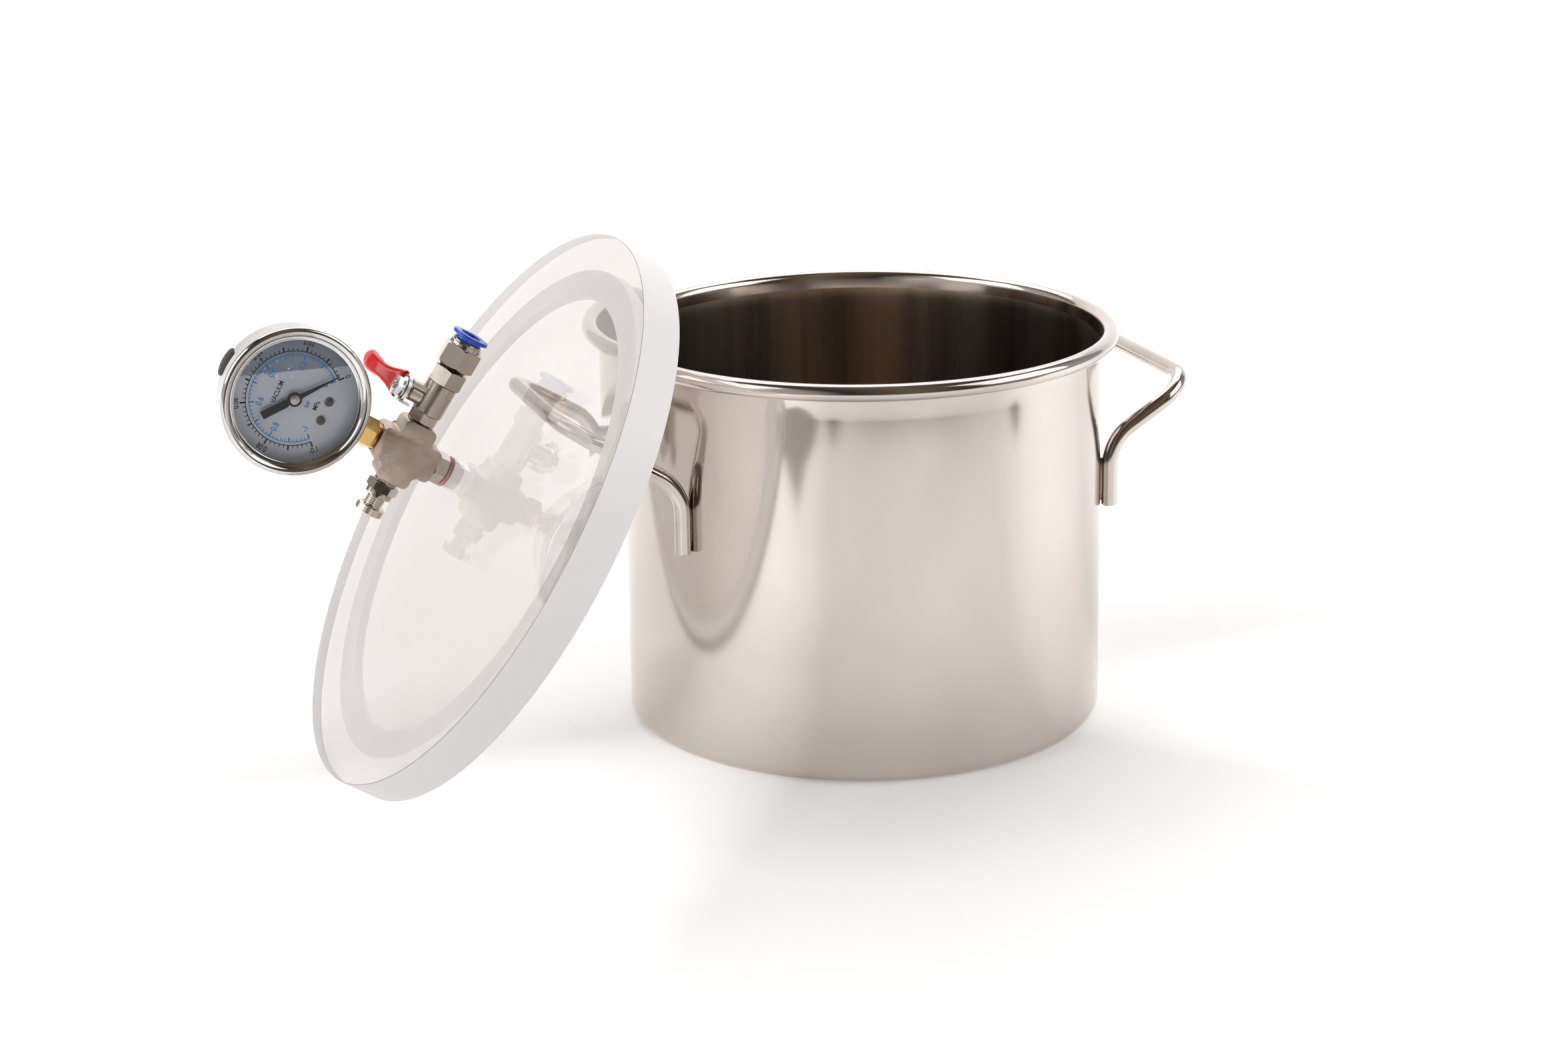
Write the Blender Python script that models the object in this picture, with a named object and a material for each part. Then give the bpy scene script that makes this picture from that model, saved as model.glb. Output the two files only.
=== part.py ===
"""Vacuum degassing chamber: a stainless pot, and its acrylic lid leaning on one handle.

Units are metres, +Z is up and the pot stands on z = 0 with its axis on the origin.
The two rod handles are on +X and -X. The lid leans on the -X handle, fittings outward.
Lengths below are written in millimetres and scaled once, when a mesh is placed.
"""

import math

import bmesh
import bpy
from mathutils import Matrix, Vector

MM = 0.001
GAP = 0.3

# Pot
POT_R, POT_H, POT_WALL = 120.0, 200.0, 1.0
BASE_ROUND = 6.7
CURL_R, CURL_AXIS_R = 4.1, 123.9
POT_STEPS = 64

# Handles
ROD_R = 4.0
LEG_Y, LEG_FOOT_Z, BEND_Z = 53.0, 107.7, 141.0
LEG_X = 112.5
GRIP_X, GRIP_Z = 157.0, 168.3
BEND_ROUND, CORNER_ROUND = 23.0, 20.0

# Lid
LID_R, LID_T, LID_EDGE = 146.0, 20.0, 0.6
LEAN = math.radians(32.4)
LID_Y = -18.0
HOLE_X, HOLE_Y, HOLE_R = 2.5, 52.0, 6.75
FITTING_TURN = math.radians(-4.0)
GASKET_IN, GASKET_OUT, GASKET_T = 115.0, 129.0, 4.7

# Fittings, measured along the hole axis from the lid face
THREAD_R = 6.4
PORT_R = 6.75
CROSS_Z, CROSS_REACH, CROSS_ARM, CROSS_DEPTH = 25.2, 16.2, 8.5, 8.5
GAUGE_Z = 90.5

# Gauge, in its own frame: +Z to the reader, +Y away from the socket
CASE_R, CASE_BACK, CASE_WALL, CASE_ROUND = 34.0, -7.0, 0.8, 5.0
BEZEL_R, WINDOW_R, SIGHT_R = 36.5, 35.0, 30.2
DIAL_R, DIAL_Z = 32.8, 13.0
DIAL_TURN = math.radians(4.5)
POINTER_REST = math.radians(-36.0)
PINION_R, SECTOR_R, SECTOR_Y = 1.2, 9.5, -11.0
TAIL_R = 6.5
TAIL_REST = math.radians(-71.1)
TUBE_R = 22.0
TIP_ANGLE = math.radians(215.0)

# Ball valve, along its own flow axis from the centre of the cross
BALL_Z, BALL_R, BALL_BORE = 27.5, 5.0, 2.6
VALVE_R, CHAMBER_R = 7.9, 6.0
LEVER_REACH = 38.0


def clear_scene():
    for obj in list(bpy.data.objects):
        bpy.data.objects.remove(obj, do_unlink=True)


# ---------------------------------------------------------------- placing


def frame(origin, x_axis, z_axis):
    """A placement matrix from an origin and two perpendicular axes."""
    x = Vector(x_axis).normalized()
    z = Vector(z_axis).normalized()
    y = z.cross(x)
    turn = Matrix((x, y, z)).transposed().to_4x4()
    return Matrix.Translation(Vector(origin)) @ turn


def lid_frame():
    """Origin at the middle of the lid's outer face, Z out of it, X up along it."""
    normal = Vector((-math.cos(LEAN), 0.0, math.sin(LEAN)))
    up = Vector((math.sin(LEAN), 0.0, math.cos(LEAN)))
    low_edge = LID_R * math.cos(LEAN) + (LID_T - LID_EDGE) * math.sin(LEAN)
    low_face = (LID_R - LID_EDGE) * math.cos(LEAN) + LID_T * math.sin(LEAN)
    height = max(low_edge, low_face) + 0.02
    grip = Vector((-GRIP_X, 0.0, GRIP_Z))
    reach = normal.dot(grip) + ROD_R + GAP + LID_T
    across = (math.sin(LEAN) * height - reach) / math.cos(LEAN)
    return frame((across, LID_Y, height), up, normal)


WORLD = Matrix.Identity(4)
LID = lid_frame()
HOLE = LID @ Matrix.Translation((HOLE_X, HOLE_Y, 0.0))
FIT = HOLE @ Matrix.Rotation(FITTING_TURN, 4, "Z")
CROSS = FIT @ Matrix.Translation((0.0, 0.0, CROSS_Z))
VALVE = CROSS @ frame((0, 0, 0), (0, 0, 1), (1, 0, 0))
BLEED = CROSS @ frame((0, 0, 0), (0, 0, 1), (-1, 0, 0))
GAUGE = HOLE @ frame((0, 0, GAUGE_Z), (1, 0, 0), (0, -1, 0))
DIAL = GAUGE @ Matrix.Rotation(DIAL_TURN, 4, "Z")
SOCKET = GAUGE @ frame((0, 0, 0), (1, 0, 0), (0, -1, 0))
STEM = VALVE @ frame((0, 0, BALL_Z), (0, -1, 0), (1, 0, 0))


# ---------------------------------------------------------------- meshes


def material(name, colour, metallic, roughness, transmission=0.0, ior=1.5):
    made = bpy.data.materials.new(name)
    made.use_nodes = True
    shader = made.node_tree.nodes["Principled BSDF"]
    shader.inputs["Base Color"].default_value = (*colour, 1.0)
    shader.inputs["Metallic"].default_value = metallic
    shader.inputs["Roughness"].default_value = roughness
    shader.inputs["Transmission Weight"].default_value = transmission
    shader.inputs["IOR"].default_value = ior
    made.diffuse_color = (*colour, 1.0)
    return made


def stainless(name):
    return material(name, (0.62, 0.60, 0.58), 1.0, 0.16)


def nickel(name):
    return material(name, (0.60, 0.56, 0.51), 1.0, 0.20)


def brass(name):
    return material(name, (0.72, 0.50, 0.22), 1.0, 0.25)


def zinc(name):
    return material(name, (0.66, 0.68, 0.68), 1.0, 0.28)


def spring_steel(name):
    return material(name, (0.42, 0.42, 0.43), 1.0, 0.30)


def bronze(name):
    return material(name, (0.55, 0.33, 0.16), 1.0, 0.32)


def black_rubber(name):
    return material(name, (0.025, 0.025, 0.027), 0.0, 0.55)


def clear_plastic(name):
    return material(name, (0.95, 0.96, 0.97), 0.0, 0.04, 0.95, 1.49)


def white_plastic(name):
    return material(name, (0.86, 0.86, 0.84), 0.0, 0.45)


def finish(name, bm, place, look):
    """Turns a bmesh in millimetres into the named object, in metres and in place."""
    bmesh.ops.remove_doubles(bm, verts=bm.verts, dist=1e-4)
    bmesh.ops.recalc_face_normals(bm, faces=bm.faces)
    bm.transform(place)
    bmesh.ops.scale(bm, vec=(MM, MM, MM), verts=bm.verts)
    if bm.calc_volume(signed=True) < 0:
        bmesh.ops.reverse_faces(bm, faces=bm.faces)
    mesh = bpy.data.meshes.new(name)
    bm.to_mesh(mesh)
    bm.free()
    obj = bpy.data.objects.new(name, mesh)
    bpy.context.scene.collection.objects.link(obj)
    if look is not None:
        obj.data.materials.append(look(name + "_material"))
    return obj


def bridge(bm, first, second):
    """Faces between two rings of vertices, either of which may be a single point."""
    count = max(len(first), len(second))
    for i in range(count):
        j = (i + 1) % count
        corners = [first[i % len(first)], first[j % len(first)]]
        corners += [second[j % len(second)], second[i % len(second)]]
        unique = [v for k, v in enumerate(corners) if v not in corners[:k]]
        if len(unique) > 2:
            bm.faces.new(unique)


def lathe(name, profile, place, look=None, steps=18):
    """Turns a closed (radius, height) outline about Z."""
    bm = bmesh.new()
    rings = []
    for radius, height in profile:
        if radius < 1e-6:
            rings.append([bm.verts.new((0.0, 0.0, height))])
            continue
        turns = [2 * math.pi * k / steps for k in range(steps)]
        rings.append([bm.verts.new((radius * math.cos(a), radius * math.sin(a), height)) for a in turns])
    for k, ring in enumerate(rings):
        after = rings[(k + 1) % len(rings)]
        if len(ring) > 1 or len(after) > 1:
            bridge(bm, ring, after)
    return finish(name, bm, place, look)


def prism(name, outline, low, high, place, look=None, chamfer=0.0):
    """A straight prism over an (x, y) outline, with its end edges taken off."""
    bm = bmesh.new()
    bottom = [bm.verts.new((x, y, low)) for x, y in outline]
    top = [bm.verts.new((x, y, high)) for x, y in outline]
    bridge(bm, bottom, top)
    ends = [bm.faces.new(bottom[::-1]), bm.faces.new(top)]
    if chamfer:
        edges = list({edge for face in ends for edge in face.edges})
        bmesh.ops.bevel(bm, geom=edges, offset=chamfer, segments=1, affect="EDGES")
    return finish(name, bm, place, look)


def loft(name, sections, place, look=None):
    """Skins a row of equal closed sections and closes both ends."""
    bm = bmesh.new()
    rings = [[bm.verts.new(point) for point in section] for section in sections]
    for first, second in zip(rings, rings[1:]):
        bridge(bm, first, second)
    bm.faces.new(rings[0][::-1])
    bm.faces.new(rings[-1])
    return finish(name, bm, place, look)


def sock(name, outer, inner, place, look=None):
    """A hollow loft, open at its first section and closed at its last."""
    bm = bmesh.new()
    skins = []
    for sections in (outer, inner):
        rings = [[bm.verts.new(point) for point in section] for section in sections]
        for first, second in zip(rings, rings[1:]):
            bridge(bm, first, second)
        bm.faces.new(rings[-1])
        skins.append(rings)
    bridge(bm, skins[0][0], skins[1][0])
    return finish(name, bm, place, look)


def combine(target, other, operation):
    """Bakes one exact Boolean into the target and removes the other object."""
    step = target.modifiers.new(operation.lower(), "BOOLEAN")
    step.operation = operation
    step.solver = "EXACT"
    step.object = other
    bpy.context.view_layer.update()
    graph = bpy.context.evaluated_depsgraph_get()
    baked = bpy.data.meshes.new_from_object(target.evaluated_get(graph))
    target.modifiers.clear()
    target.data = baked
    bpy.data.objects.remove(other, do_unlink=True)
    return target


def cut(target, other):
    return combine(target, other, "DIFFERENCE")


def join(target, other):
    return combine(target, other, "UNION")


def drill(target, radius, low, high, place, steps=18):
    tool = lathe("drill", [(0, low), (radius, low), (radius, high), (0, high)], place, None, steps)
    return cut(target, tool)


# ---------------------------------------------------------------- outlines


def arc(centre, radius, start, end, count):
    """Points of an arc, with its angles in degrees."""
    points = []
    for k in range(count + 1):
        angle = math.radians(start + (end - start) * k / count)
        points.append((centre[0] + radius * math.cos(angle), centre[1] + radius * math.sin(angle)))
    return points


def hexagon(across_flats, turn=0.0):
    radius = across_flats / math.sqrt(3.0)
    angles = [turn + math.radians(60.0 * k) for k in range(6)]
    return [(radius * math.cos(a), radius * math.sin(a)) for a in angles]


def rounded(corners, radii, count=3):
    """A closed outline with each corner replaced by an arc that meets both of its sides."""
    outline = []
    for k, corner in enumerate(corners):
        here = Vector(corner)
        before = (Vector(corners[k - 1]) - here).normalized()
        after = (Vector(corners[(k + 1) % len(corners)]) - here).normalized()
        outline += fillet(here, before, after, radii[k % len(radii)], count)
    return [tuple(point) for point in outline]


def fillet(corner, before, after, radius, count):
    """Points of the arc that rounds a corner, from the side before to the side after."""
    half = before.angle(after) / 2
    reach = radius / math.tan(half)
    middle = corner + (before + after).normalized() * (radius / math.sin(half))
    first = corner + before * reach - middle
    last = corner + after * reach - middle
    points = []
    for k in range(count + 1):
        share = k / count
        spread = first.angle(last)
        weight_a = math.sin((1 - share) * spread) / math.sin(spread)
        weight_b = math.sin(share * spread) / math.sin(spread)
        points.append(middle + first * weight_a + last * weight_b)
    return points


def ridges(radius, depth, low, high, count):
    """Profile points of turned thread ridges between two heights."""
    pitch = (high - low) / count
    points = []
    for k in range(count):
        points.append((radius - depth, low + k * pitch))
        points.append((radius, low + (k + 0.5) * pitch))
    points.append((radius - depth, high))
    return points


def nut(name, across_flats, low, high, place, look=None, turn=0.0, ease=0.6):
    """A hexagonal prism with its corners turned off at both ends."""
    block = prism(name, hexagon(across_flats, turn), low, high, place, look)
    face = across_flats / 2 - 0.15
    corner = across_flats / math.sqrt(3.0) + 0.3
    tool = [(0, low - 1), (face, low - 1), (face, low), (corner, low + ease)]
    tool += [(corner, high - ease), (face, high), (face, high + 1), (0, high + 1)]
    return combine(block, lathe("turned_corners", tool, place, None, 18), "INTERSECT")


# ---------------------------------------------------------------- pot


def pot_shell():
    """One skin: flat base, straight wall, and a rim curled outward into an open bead."""
    wall_in = POT_R - POT_WALL
    curl_z = POT_H - CURL_R
    low = BASE_ROUND
    profile = [(0.0, 0.0)]
    profile += arc((POT_R - low, low), low, -90, 0, 3)
    profile.append((POT_R, curl_z - 5.0))
    profile += arc((CURL_AXIS_R, curl_z), CURL_R - POT_WALL, 180, -130, 5)
    profile += arc((CURL_AXIS_R, curl_z), CURL_R, -130, 180, 9)
    profile.append((wall_in, curl_z - 5.0))
    profile += arc((POT_R - low, low), low - POT_WALL, 0, -90, 2)
    profile.append((0.0, POT_WALL))
    return lathe("pot_shell", profile, WORLD, stainless, POT_STEPS)


def rod_sections(path, radius, steps):
    """Round sections square to a path, carried along it without twisting."""
    sections = []
    side = None
    for k, point in enumerate(path):
        before = path[max(k - 1, 0)]
        after = path[min(k + 1, len(path) - 1)]
        along = (after - before).normalized()
        side = along.orthogonal() if side is None else side - along * side.dot(along)
        side = side.normalized()
        other = along.cross(side)
        ring = []
        for j in range(steps):
            angle = 2 * math.pi * j / steps
            ring.append(point + (side * math.cos(angle) + other * math.sin(angle)) * radius)
        sections.append(ring)
    return sections


def rounded_path(corners, radii, count):
    points = [corners[0]]
    for k in range(1, len(corners) - 1):
        before = (corners[k - 1] - corners[k]).normalized()
        after = (corners[k + 1] - corners[k]).normalized()
        points += fillet(corners[k], before, after, radii[k - 1], count)
    return points + [corners[-1]]


def handle(name, side):
    """A bent rod: two upright legs on the wall, arms rising outward, and a level grip."""
    corners = []
    for y, order in ((-LEG_Y, 1), (LEG_Y, -1)):
        leg = [Vector((side * LEG_X, y, LEG_FOOT_Z))]
        leg.append(Vector((side * LEG_X, y, BEND_Z)))
        leg.append(Vector((side * GRIP_X, y, GRIP_Z)))
        corners += leg[::order]
    radii = [BEND_ROUND, CORNER_ROUND, CORNER_ROUND, BEND_ROUND]
    path = rounded_path(corners, radii, 6)
    return loft(name, rod_sections(path, ROD_R, 12), WORLD, stainless)


# ---------------------------------------------------------------- lid


def lid_disc():
    edge = LID_R - LID_EDGE
    profile = [(0, 0), (edge, 0), (LID_R, -LID_EDGE), (LID_R, -LID_T + LID_EDGE)]
    profile += [(edge, -LID_T), (0, -LID_T)]
    disc = lathe("lid_disc", profile, LID, clear_plastic, 80)
    return drill(disc, HOLE_R, -LID_T - 2, 2, HOLE)


def lid_gasket():
    """A flat silicone ring with a shallow seat for the pot's rim."""
    top = -LID_T - GAP
    low = top - GASKET_T
    profile = [(GASKET_IN, top), (GASKET_OUT, top), (GASKET_OUT, low), (GASKET_OUT - 0.8, low)]
    profile += [(GASKET_OUT - 2.2, low + 1.1), (121.2, low + 1.1), (119.6, low), (GASKET_IN, low)]
    return lathe("lid_gasket", profile, LID, white_silicone, 56)


def white_silicone(name):
    return material(name, (0.88, 0.88, 0.87), 0.0, 0.35, 0.45, 1.41)


def pink_seal(name):
    return material(name, (0.80, 0.36, 0.38), 0.0, 0.30, 0.45, 1.45)


def lid_nipple():
    """A hexagon nipple: one thread down into the lid, one up into the cross."""
    body = nut("lid_nipple", 14.0, 2.5, 8.6, FIT, nickel, math.radians(20.0))
    low = [(0, -16.0), (5.7, -16.0), (THREAD_R, -15.2), (THREAD_R, 3.2), (0, 3.2)]
    join(body, lathe("lower_thread", low, FIT))
    high = [(0, 8.0), (THREAD_R, 8.0), (THREAD_R, 16.2), (5.7, 17.0), (0, 17.0)]
    join(body, lathe("upper_thread", high, FIT))
    return drill(body, 3.6, -18.0, 19.0, FIT)


def nipple_washer():
    profile = [(6.7, GAP), (7.7, GAP), (7.9, GAP + 0.3), (7.9, 1.9), (7.7, 2.2), (6.7, 2.2)]
    return lathe("nipple_washer", profile, FIT, pink_seal)


# ---------------------------------------------------------------- cross


def cross_outline():
    """A plus with its outer corners rounded and its inner corners filled a little."""
    arm, reach = CROSS_ARM, CROSS_REACH
    quarter = [(reach, -arm), (reach, arm), (arm, arm)]
    corners = []
    for turn in range(4):
        angle = math.pi / 2 * turn
        cosine, sine = math.cos(angle), math.sin(angle)
        corners += [(x * cosine - y * sine, x * sine + y * cosine) for x, y in quarter]
    return rounded(corners, [2.6, 2.6, 1.4])


def cross_fitting():
    """A cast four-way block, flat on the reader's side, with four threaded ports."""
    lying = CROSS @ frame((0, 0, 0), (1, 0, 0), (0, -1, 0))
    block = prism("cross_fitting", cross_outline(), -CROSS_DEPTH, CROSS_DEPTH, lying, cast_nickel, 0.5)
    for axis, way in (((1, 0, 0), 3.9), ((0, 0, 1), 3.6)):
        half = [(way, 6.2), (5.6, 7.0), (PORT_R, 7.0), (PORT_R, CROSS_REACH - 0.6)]
        half += [(PORT_R + 1.6, CROSS_REACH + 1.0), (0, CROSS_REACH + 1.0)]
        other = [(radius, -height) for radius, height in half[::-1]]
        cut(block, lathe("ports", half + other, CROSS @ frame((0, 0, 0), (0, 1, 0), axis)))
    return block


def cast_nickel(name):
    return material(name, (0.50, 0.46, 0.41), 1.0, 0.42)


# ---------------------------------------------------------------- gauge


def gauge_case():
    """A drawn cup with a rolled front flange, open at the socket and at the fill hole."""
    inner = CASE_R - CASE_WALL
    back = CASE_BACK
    hub = (CASE_R - CASE_ROUND, back + CASE_ROUND)
    profile = [(0, back)] + arc(hub, CASE_ROUND, -90, 0, 4)
    flange = WINDOW_R + 0.1
    profile += [(CASE_R, 14.2), (flange, 14.5), (flange, 15.6), (inner, 15.6)]
    profile += arc(hub, CASE_ROUND - CASE_WALL, 0, -90, 3)
    profile.append((0, back + CASE_WALL))
    case = lathe("gauge_case", profile, GAUGE, stainless, 40)
    drill(case, 5.35, 20.0, 45.0, SOCKET)
    return drill(case, 5.4, 20.0, 45.0, fill_frame())


def fill_frame():
    return GAUGE @ frame((0, 0, 3.8), (1, 0, 0), (0, 1, 0))


def gauge_bezel():
    """A spun ring: skirt crimped behind the flange, crest, dark slope and flat lip."""
    edge, inside = BEZEL_R, WINDOW_R + 0.5
    profile = [(inside - 1.0, 12.9), (edge, 12.9), (edge, 19.9)]
    profile += arc((edge - 1.1, 20.6), 1.1, 20, 90, 2)
    profile += [(edge - 1.9, 21.5), (edge - 3.6, 20.5), (SIGHT_R, 20.2), (SIGHT_R, 19.3)]
    profile += [(inside, 19.3), (inside, 14.2), (inside - 1.0, 14.2)]
    return lathe("gauge_bezel", profile, GAUGE, stainless, 40)


def gauge_window():
    profile = [(0, 17.3), (WINDOW_R, 17.3), (WINDOW_R, 19.0), (0, 19.0)]
    return lathe("gauge_window", profile, GAUGE, clear_plastic, 32)


def gauge_window_seal():
    inner = WINDOW_R - 1.7
    profile = [(inner, 15.9), (WINDOW_R, 15.9), (WINDOW_R, 17.0), (inner, 17.0)]
    return lathe("gauge_window_seal", profile, GAUGE, black_rubber, 32)


def gauge_dial():
    low = DIAL_Z - 0.6
    plate = lathe("gauge_dial", [(0, low), (DIAL_R, low), (DIAL_R, DIAL_Z), (0, DIAL_Z)], DIAL, white_plastic, 32)
    drill(plate, 2.2, low - 1, DIAL_Z + 1, DIAL, 16)
    for x in (-4.9, 4.9):
        drill(plate, 1.15, low - 1, DIAL_Z + 1, DIAL @ Matrix.Translation((x, -16.6, 0)), 12)
    return plate


def dial_screw(name, x):
    """A pan-head screw with a cross recess."""
    place = DIAL @ Matrix.Translation((x, -16.6, 0))
    head = [(0, 12.3), (0.8, 12.3), (0.8, 13.3), (2.2, 13.3), (2.2, 13.7), (1.7, 14.2), (0, 14.3)]
    screw = lathe(name, head, place, spring_steel, 16)
    for turn in (0.0, math.pi / 2):
        slot = [(-1.3, -0.22), (1.3, -0.22), (1.3, 0.22), (-1.3, 0.22)]
        cut(screw, prism("slot", slot, 13.7, 15.0, place @ Matrix.Rotation(turn, 4, "Z")))
    return screw


def gauge_socket():
    """Brass stem: thread into the cross, hexagon, neck through the case, tube block."""
    near, far = GAUGE_Z - 51.3, GAUGE_Z - 43.4
    body = nut("gauge_socket", 14.0, near, far, SOCKET, brass, math.radians(12.0))
    start, end = GAUGE_Z - CROSS_Z - CROSS_REACH + 0.2, GAUGE_Z - 33.6
    thread = [(0, far - 0.6), (5.95, far - 0.6)] + ridges(THREAD_R, 0.45, start - 2.1, start + 0.6, 2)
    thread += [(5.95, end), (5.5, end + 0.4), (0, end + 0.4)]
    join(body, lathe("thread", thread, SOCKET))
    join(body, lathe("neck", [(0, 29.5), (5.0, 29.5), (5.0, near + 0.6), (0, near + 0.6)], SOCKET))
    block = rounded([(-6.6, -3.8), (6.6, -3.8), (6.6, 2.9), (-6.6, 2.9)], [0.8], 1)
    join(body, prism("block", block, 18.6, 30.6, SOCKET))
    return drill(body, 1.6, 24.0, end + 2, SOCKET, 12)


def gauge_fill_plug():
    """A rubber plug pushed into the case, groove over the wall and a low dome outside."""
    wall_in, wall_out = CASE_R - CASE_WALL - 0.5, CASE_R + 0.75
    profile = [(0, wall_in - 2.4), (4.6, wall_in - 2.4), (5.0, wall_in - 1.4), (5.0, wall_out)]
    profile += [(7.3, wall_out), (7.0, wall_out + 0.8), (5.2, wall_out + 1.4), (0, wall_out + 1.6)]
    return lathe("gauge_fill_plug", profile, fill_frame(), black_rubber, 24)


def tube_section(angle, half_width, half_depth):
    """A flattened hexagonal section of the pressure tube at an angle round the case."""
    out = Vector((math.cos(angle), math.sin(angle), 0.0))
    middle = out * TUBE_R + Vector((0, 0, -0.5))
    deep = Vector((0, 0, 1.0))
    shape = [(-1, -0.6), (0, -1), (1, -0.6), (1, 0.6), (0, 1), (-1, 0.6)]
    return [middle + out * (a * half_width) + deep * (b * half_depth) for a, b in shape]


def bourdon_tube():
    """A flat tube bent to a C, open where it leaves the block and closed at its tip."""
    start = math.radians(-71.0)
    angles = [start + (TIP_ANGLE - start) * k / 18 for k in range(19)]
    outer = [tube_section(a, 1.25, 2.6) for a in angles]
    inner = [tube_section(a, 0.75, 2.0) for a in angles[:-1]]
    tube = sock("bourdon_tube", outer, inner, GAUGE, bronze)
    post = lathe("tip_post", [(0, 1.0), (1.1, 1.0), (1.1, 7.0), (0, 7.0)], tip_frame(), None, 12)
    return join(tube, post)


def tip_frame():
    angle = TIP_ANGLE - math.radians(2.0)
    reach = TUBE_R
    return GAUGE @ Matrix.Translation((reach * math.cos(angle), reach * math.sin(angle), 0))


def plate_outline():
    return rounded([(-8.8, -21.3), (8.8, -21.3), (8.8, 6.0), (-8.8, 6.0)], [2.0], 2)


def movement_back_plate():
    """The plate behind the gears, with the four pillars that carry the front plate."""
    plate = prism("movement_back_plate", plate_outline(), 3.2, 4.2, GAUGE, brass)
    for x, y in ((-7.0, 4.2), (7.0, 4.2), (-7.0, -19.4), (7.0, -19.4)):
        pillar = [(0, 3.9), (1.3, 3.9), (1.3, 9.3), (0, 9.3)]
        join(plate, lathe("pillar", pillar, GAUGE @ Matrix.Translation((x, y, 0)), None, 12))
    return drill(plate, 1.15, 2.0, 5.0, GAUGE @ Matrix.Translation((0, SECTOR_Y, 0)), 12)


def movement_front_plate():
    """The plate in front of the gears, with the posts that the dial is screwed to."""
    plate = prism("movement_front_plate", plate_outline(), 9.6, 10.6, GAUGE, brass)
    for x in (-4.9, 4.9):
        post = [(1.15, 10.3), (2.3, 10.3), (2.3, 12.1), (1.15, 12.1)]
        join(plate, lathe("post", post, DIAL @ Matrix.Translation((x, -16.6, 0)), None, 12))
    drill(plate, 1.15, 9.0, 11.5, GAUGE @ Matrix.Translation((0, SECTOR_Y, 0)), 12)
    return drill(plate, 1.15, 9.0, 11.5, GAUGE, 12)


def toothed(radius, depth, start, end, teeth):
    """Points of a toothed arc, with its angles in radians."""
    points = []
    for k in range(teeth):
        for share, reach in ((0.0, radius - depth), (0.3, radius), (0.7, radius)):
            angle = start + (end - start) * (k + share) / teeth
            points.append((reach * math.cos(angle), reach * math.sin(angle)))
    return points


def sector_gear():
    """A toothed sector on its arbor, with a short tail that the link pulls."""
    place = GAUGE @ Matrix.Translation((0, SECTOR_Y, 0))
    fan = toothed(SECTOR_R, 0.5, math.radians(86.0), math.radians(134.0), 24)
    fan += [(-2.4, 1.0), (-2.0, -1.4), (2.0, -1.4), (2.4, 1.0)]
    gear = prism("sector_gear", fan, 5.2, 6.4, place, brass)
    tail = [(-1.3, 1.3), (-1.3, -1.3), (TAIL_R, -1.1), (TAIL_R + 1.1, 0), (TAIL_R, 1.1)]
    join(gear, prism("tail", tail, 5.1, 6.3, place @ Matrix.Rotation(TAIL_REST, 4, "Z")))
    arbor = [(0, 3.3), (0.8, 3.3), (0.8, 10.5), (0, 10.5)]
    return join(gear, lathe("arbor", arbor, place, None, 12))


def tail_pin():
    return Vector((TAIL_R * math.cos(TAIL_REST), SECTOR_Y + TAIL_R * math.sin(TAIL_REST), 0))


def sector_link():
    """A flat link between the tail of the sector and the tip of the tube."""
    start = tail_pin()
    end = (GAUGE.inverted() @ tip_frame()).translation
    along = end - start
    place = GAUGE @ frame(start, along, (0, 0, 1))
    length = along.length
    bar = arc((0, 0), 1.1, 90, 270, 4) + arc((length, 0), 1.1, -90, 90, 4)
    return prism("sector_link", bar, 7.3, 8.0, place, brass)


def pointer_shaft():
    """The arbor that carries the pinion behind the dial and the pointer in front of it."""
    shaft = [(0, 4.5), (0.8, 4.5), (0.8, 16.2), (0, 16.2)]
    made = lathe("pointer_shaft", shaft, GAUGE, brass, 12)
    teeth = toothed(PINION_R, 0.25, 0.0, 2 * math.pi, 8)
    return join(made, prism("pinion", teeth, 4.9, 7.0, GAUGE))


def hairspring():
    """A flat spiral that takes up the play of the gears."""
    turns, count = 3.0, 42
    sections = []
    for k in range(count + 1):
        share = k / count
        angle = 2 * math.pi * turns * share
        radius = 1.5 + 3.4 * share
        out = Vector((math.cos(angle), math.sin(angle), 0.0))
        deep = Vector((0, 0, 1.0))
        shape = [(-0.12, 8.3), (0.12, 8.3), (0.12, 9.1), (-0.12, 9.1)]
        sections.append([out * (radius + a) + deep * b for a, b in shape])
    return loft("hairspring", sections, GAUGE, bronze)


def pointer():
    """A black tapered hand with a broad tail, and the boss that grips the shaft."""
    place = GAUGE @ Matrix.Rotation(POINTER_REST, 4, "Z")
    hand = [(24.4, 0.0), (24.0, 0.22), (4.0, 1.15), (-3.5, 1.35), (-4.5, 1.9), (-17.4, 2.0)]
    hand += [(-17.4, -2.0), (-4.5, -1.9), (-3.5, -1.35), (4.0, -1.15), (24.0, -0.22)]
    blade = prism("pointer", hand, 15.0, 15.5, place, black_paint)
    boss = [(1.1, 14.3), (2.0, 14.3), (3.6, 14.9), (3.6, 15.8), (3.2, 16.1), (1.1, 16.1)]
    tool = [(0, 14.0), (1.1, 14.0), (1.1, 17.0), (0, 17.0)]
    cut(blade, lathe("bore", tool, place, None, 16))
    return join(blade, lathe("boss", boss, place, None, 16))


def black_paint(name):
    return material(name, (0.02, 0.02, 0.022), 0.0, 0.35)


# ---------------------------------------------------------------- ball valve


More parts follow.
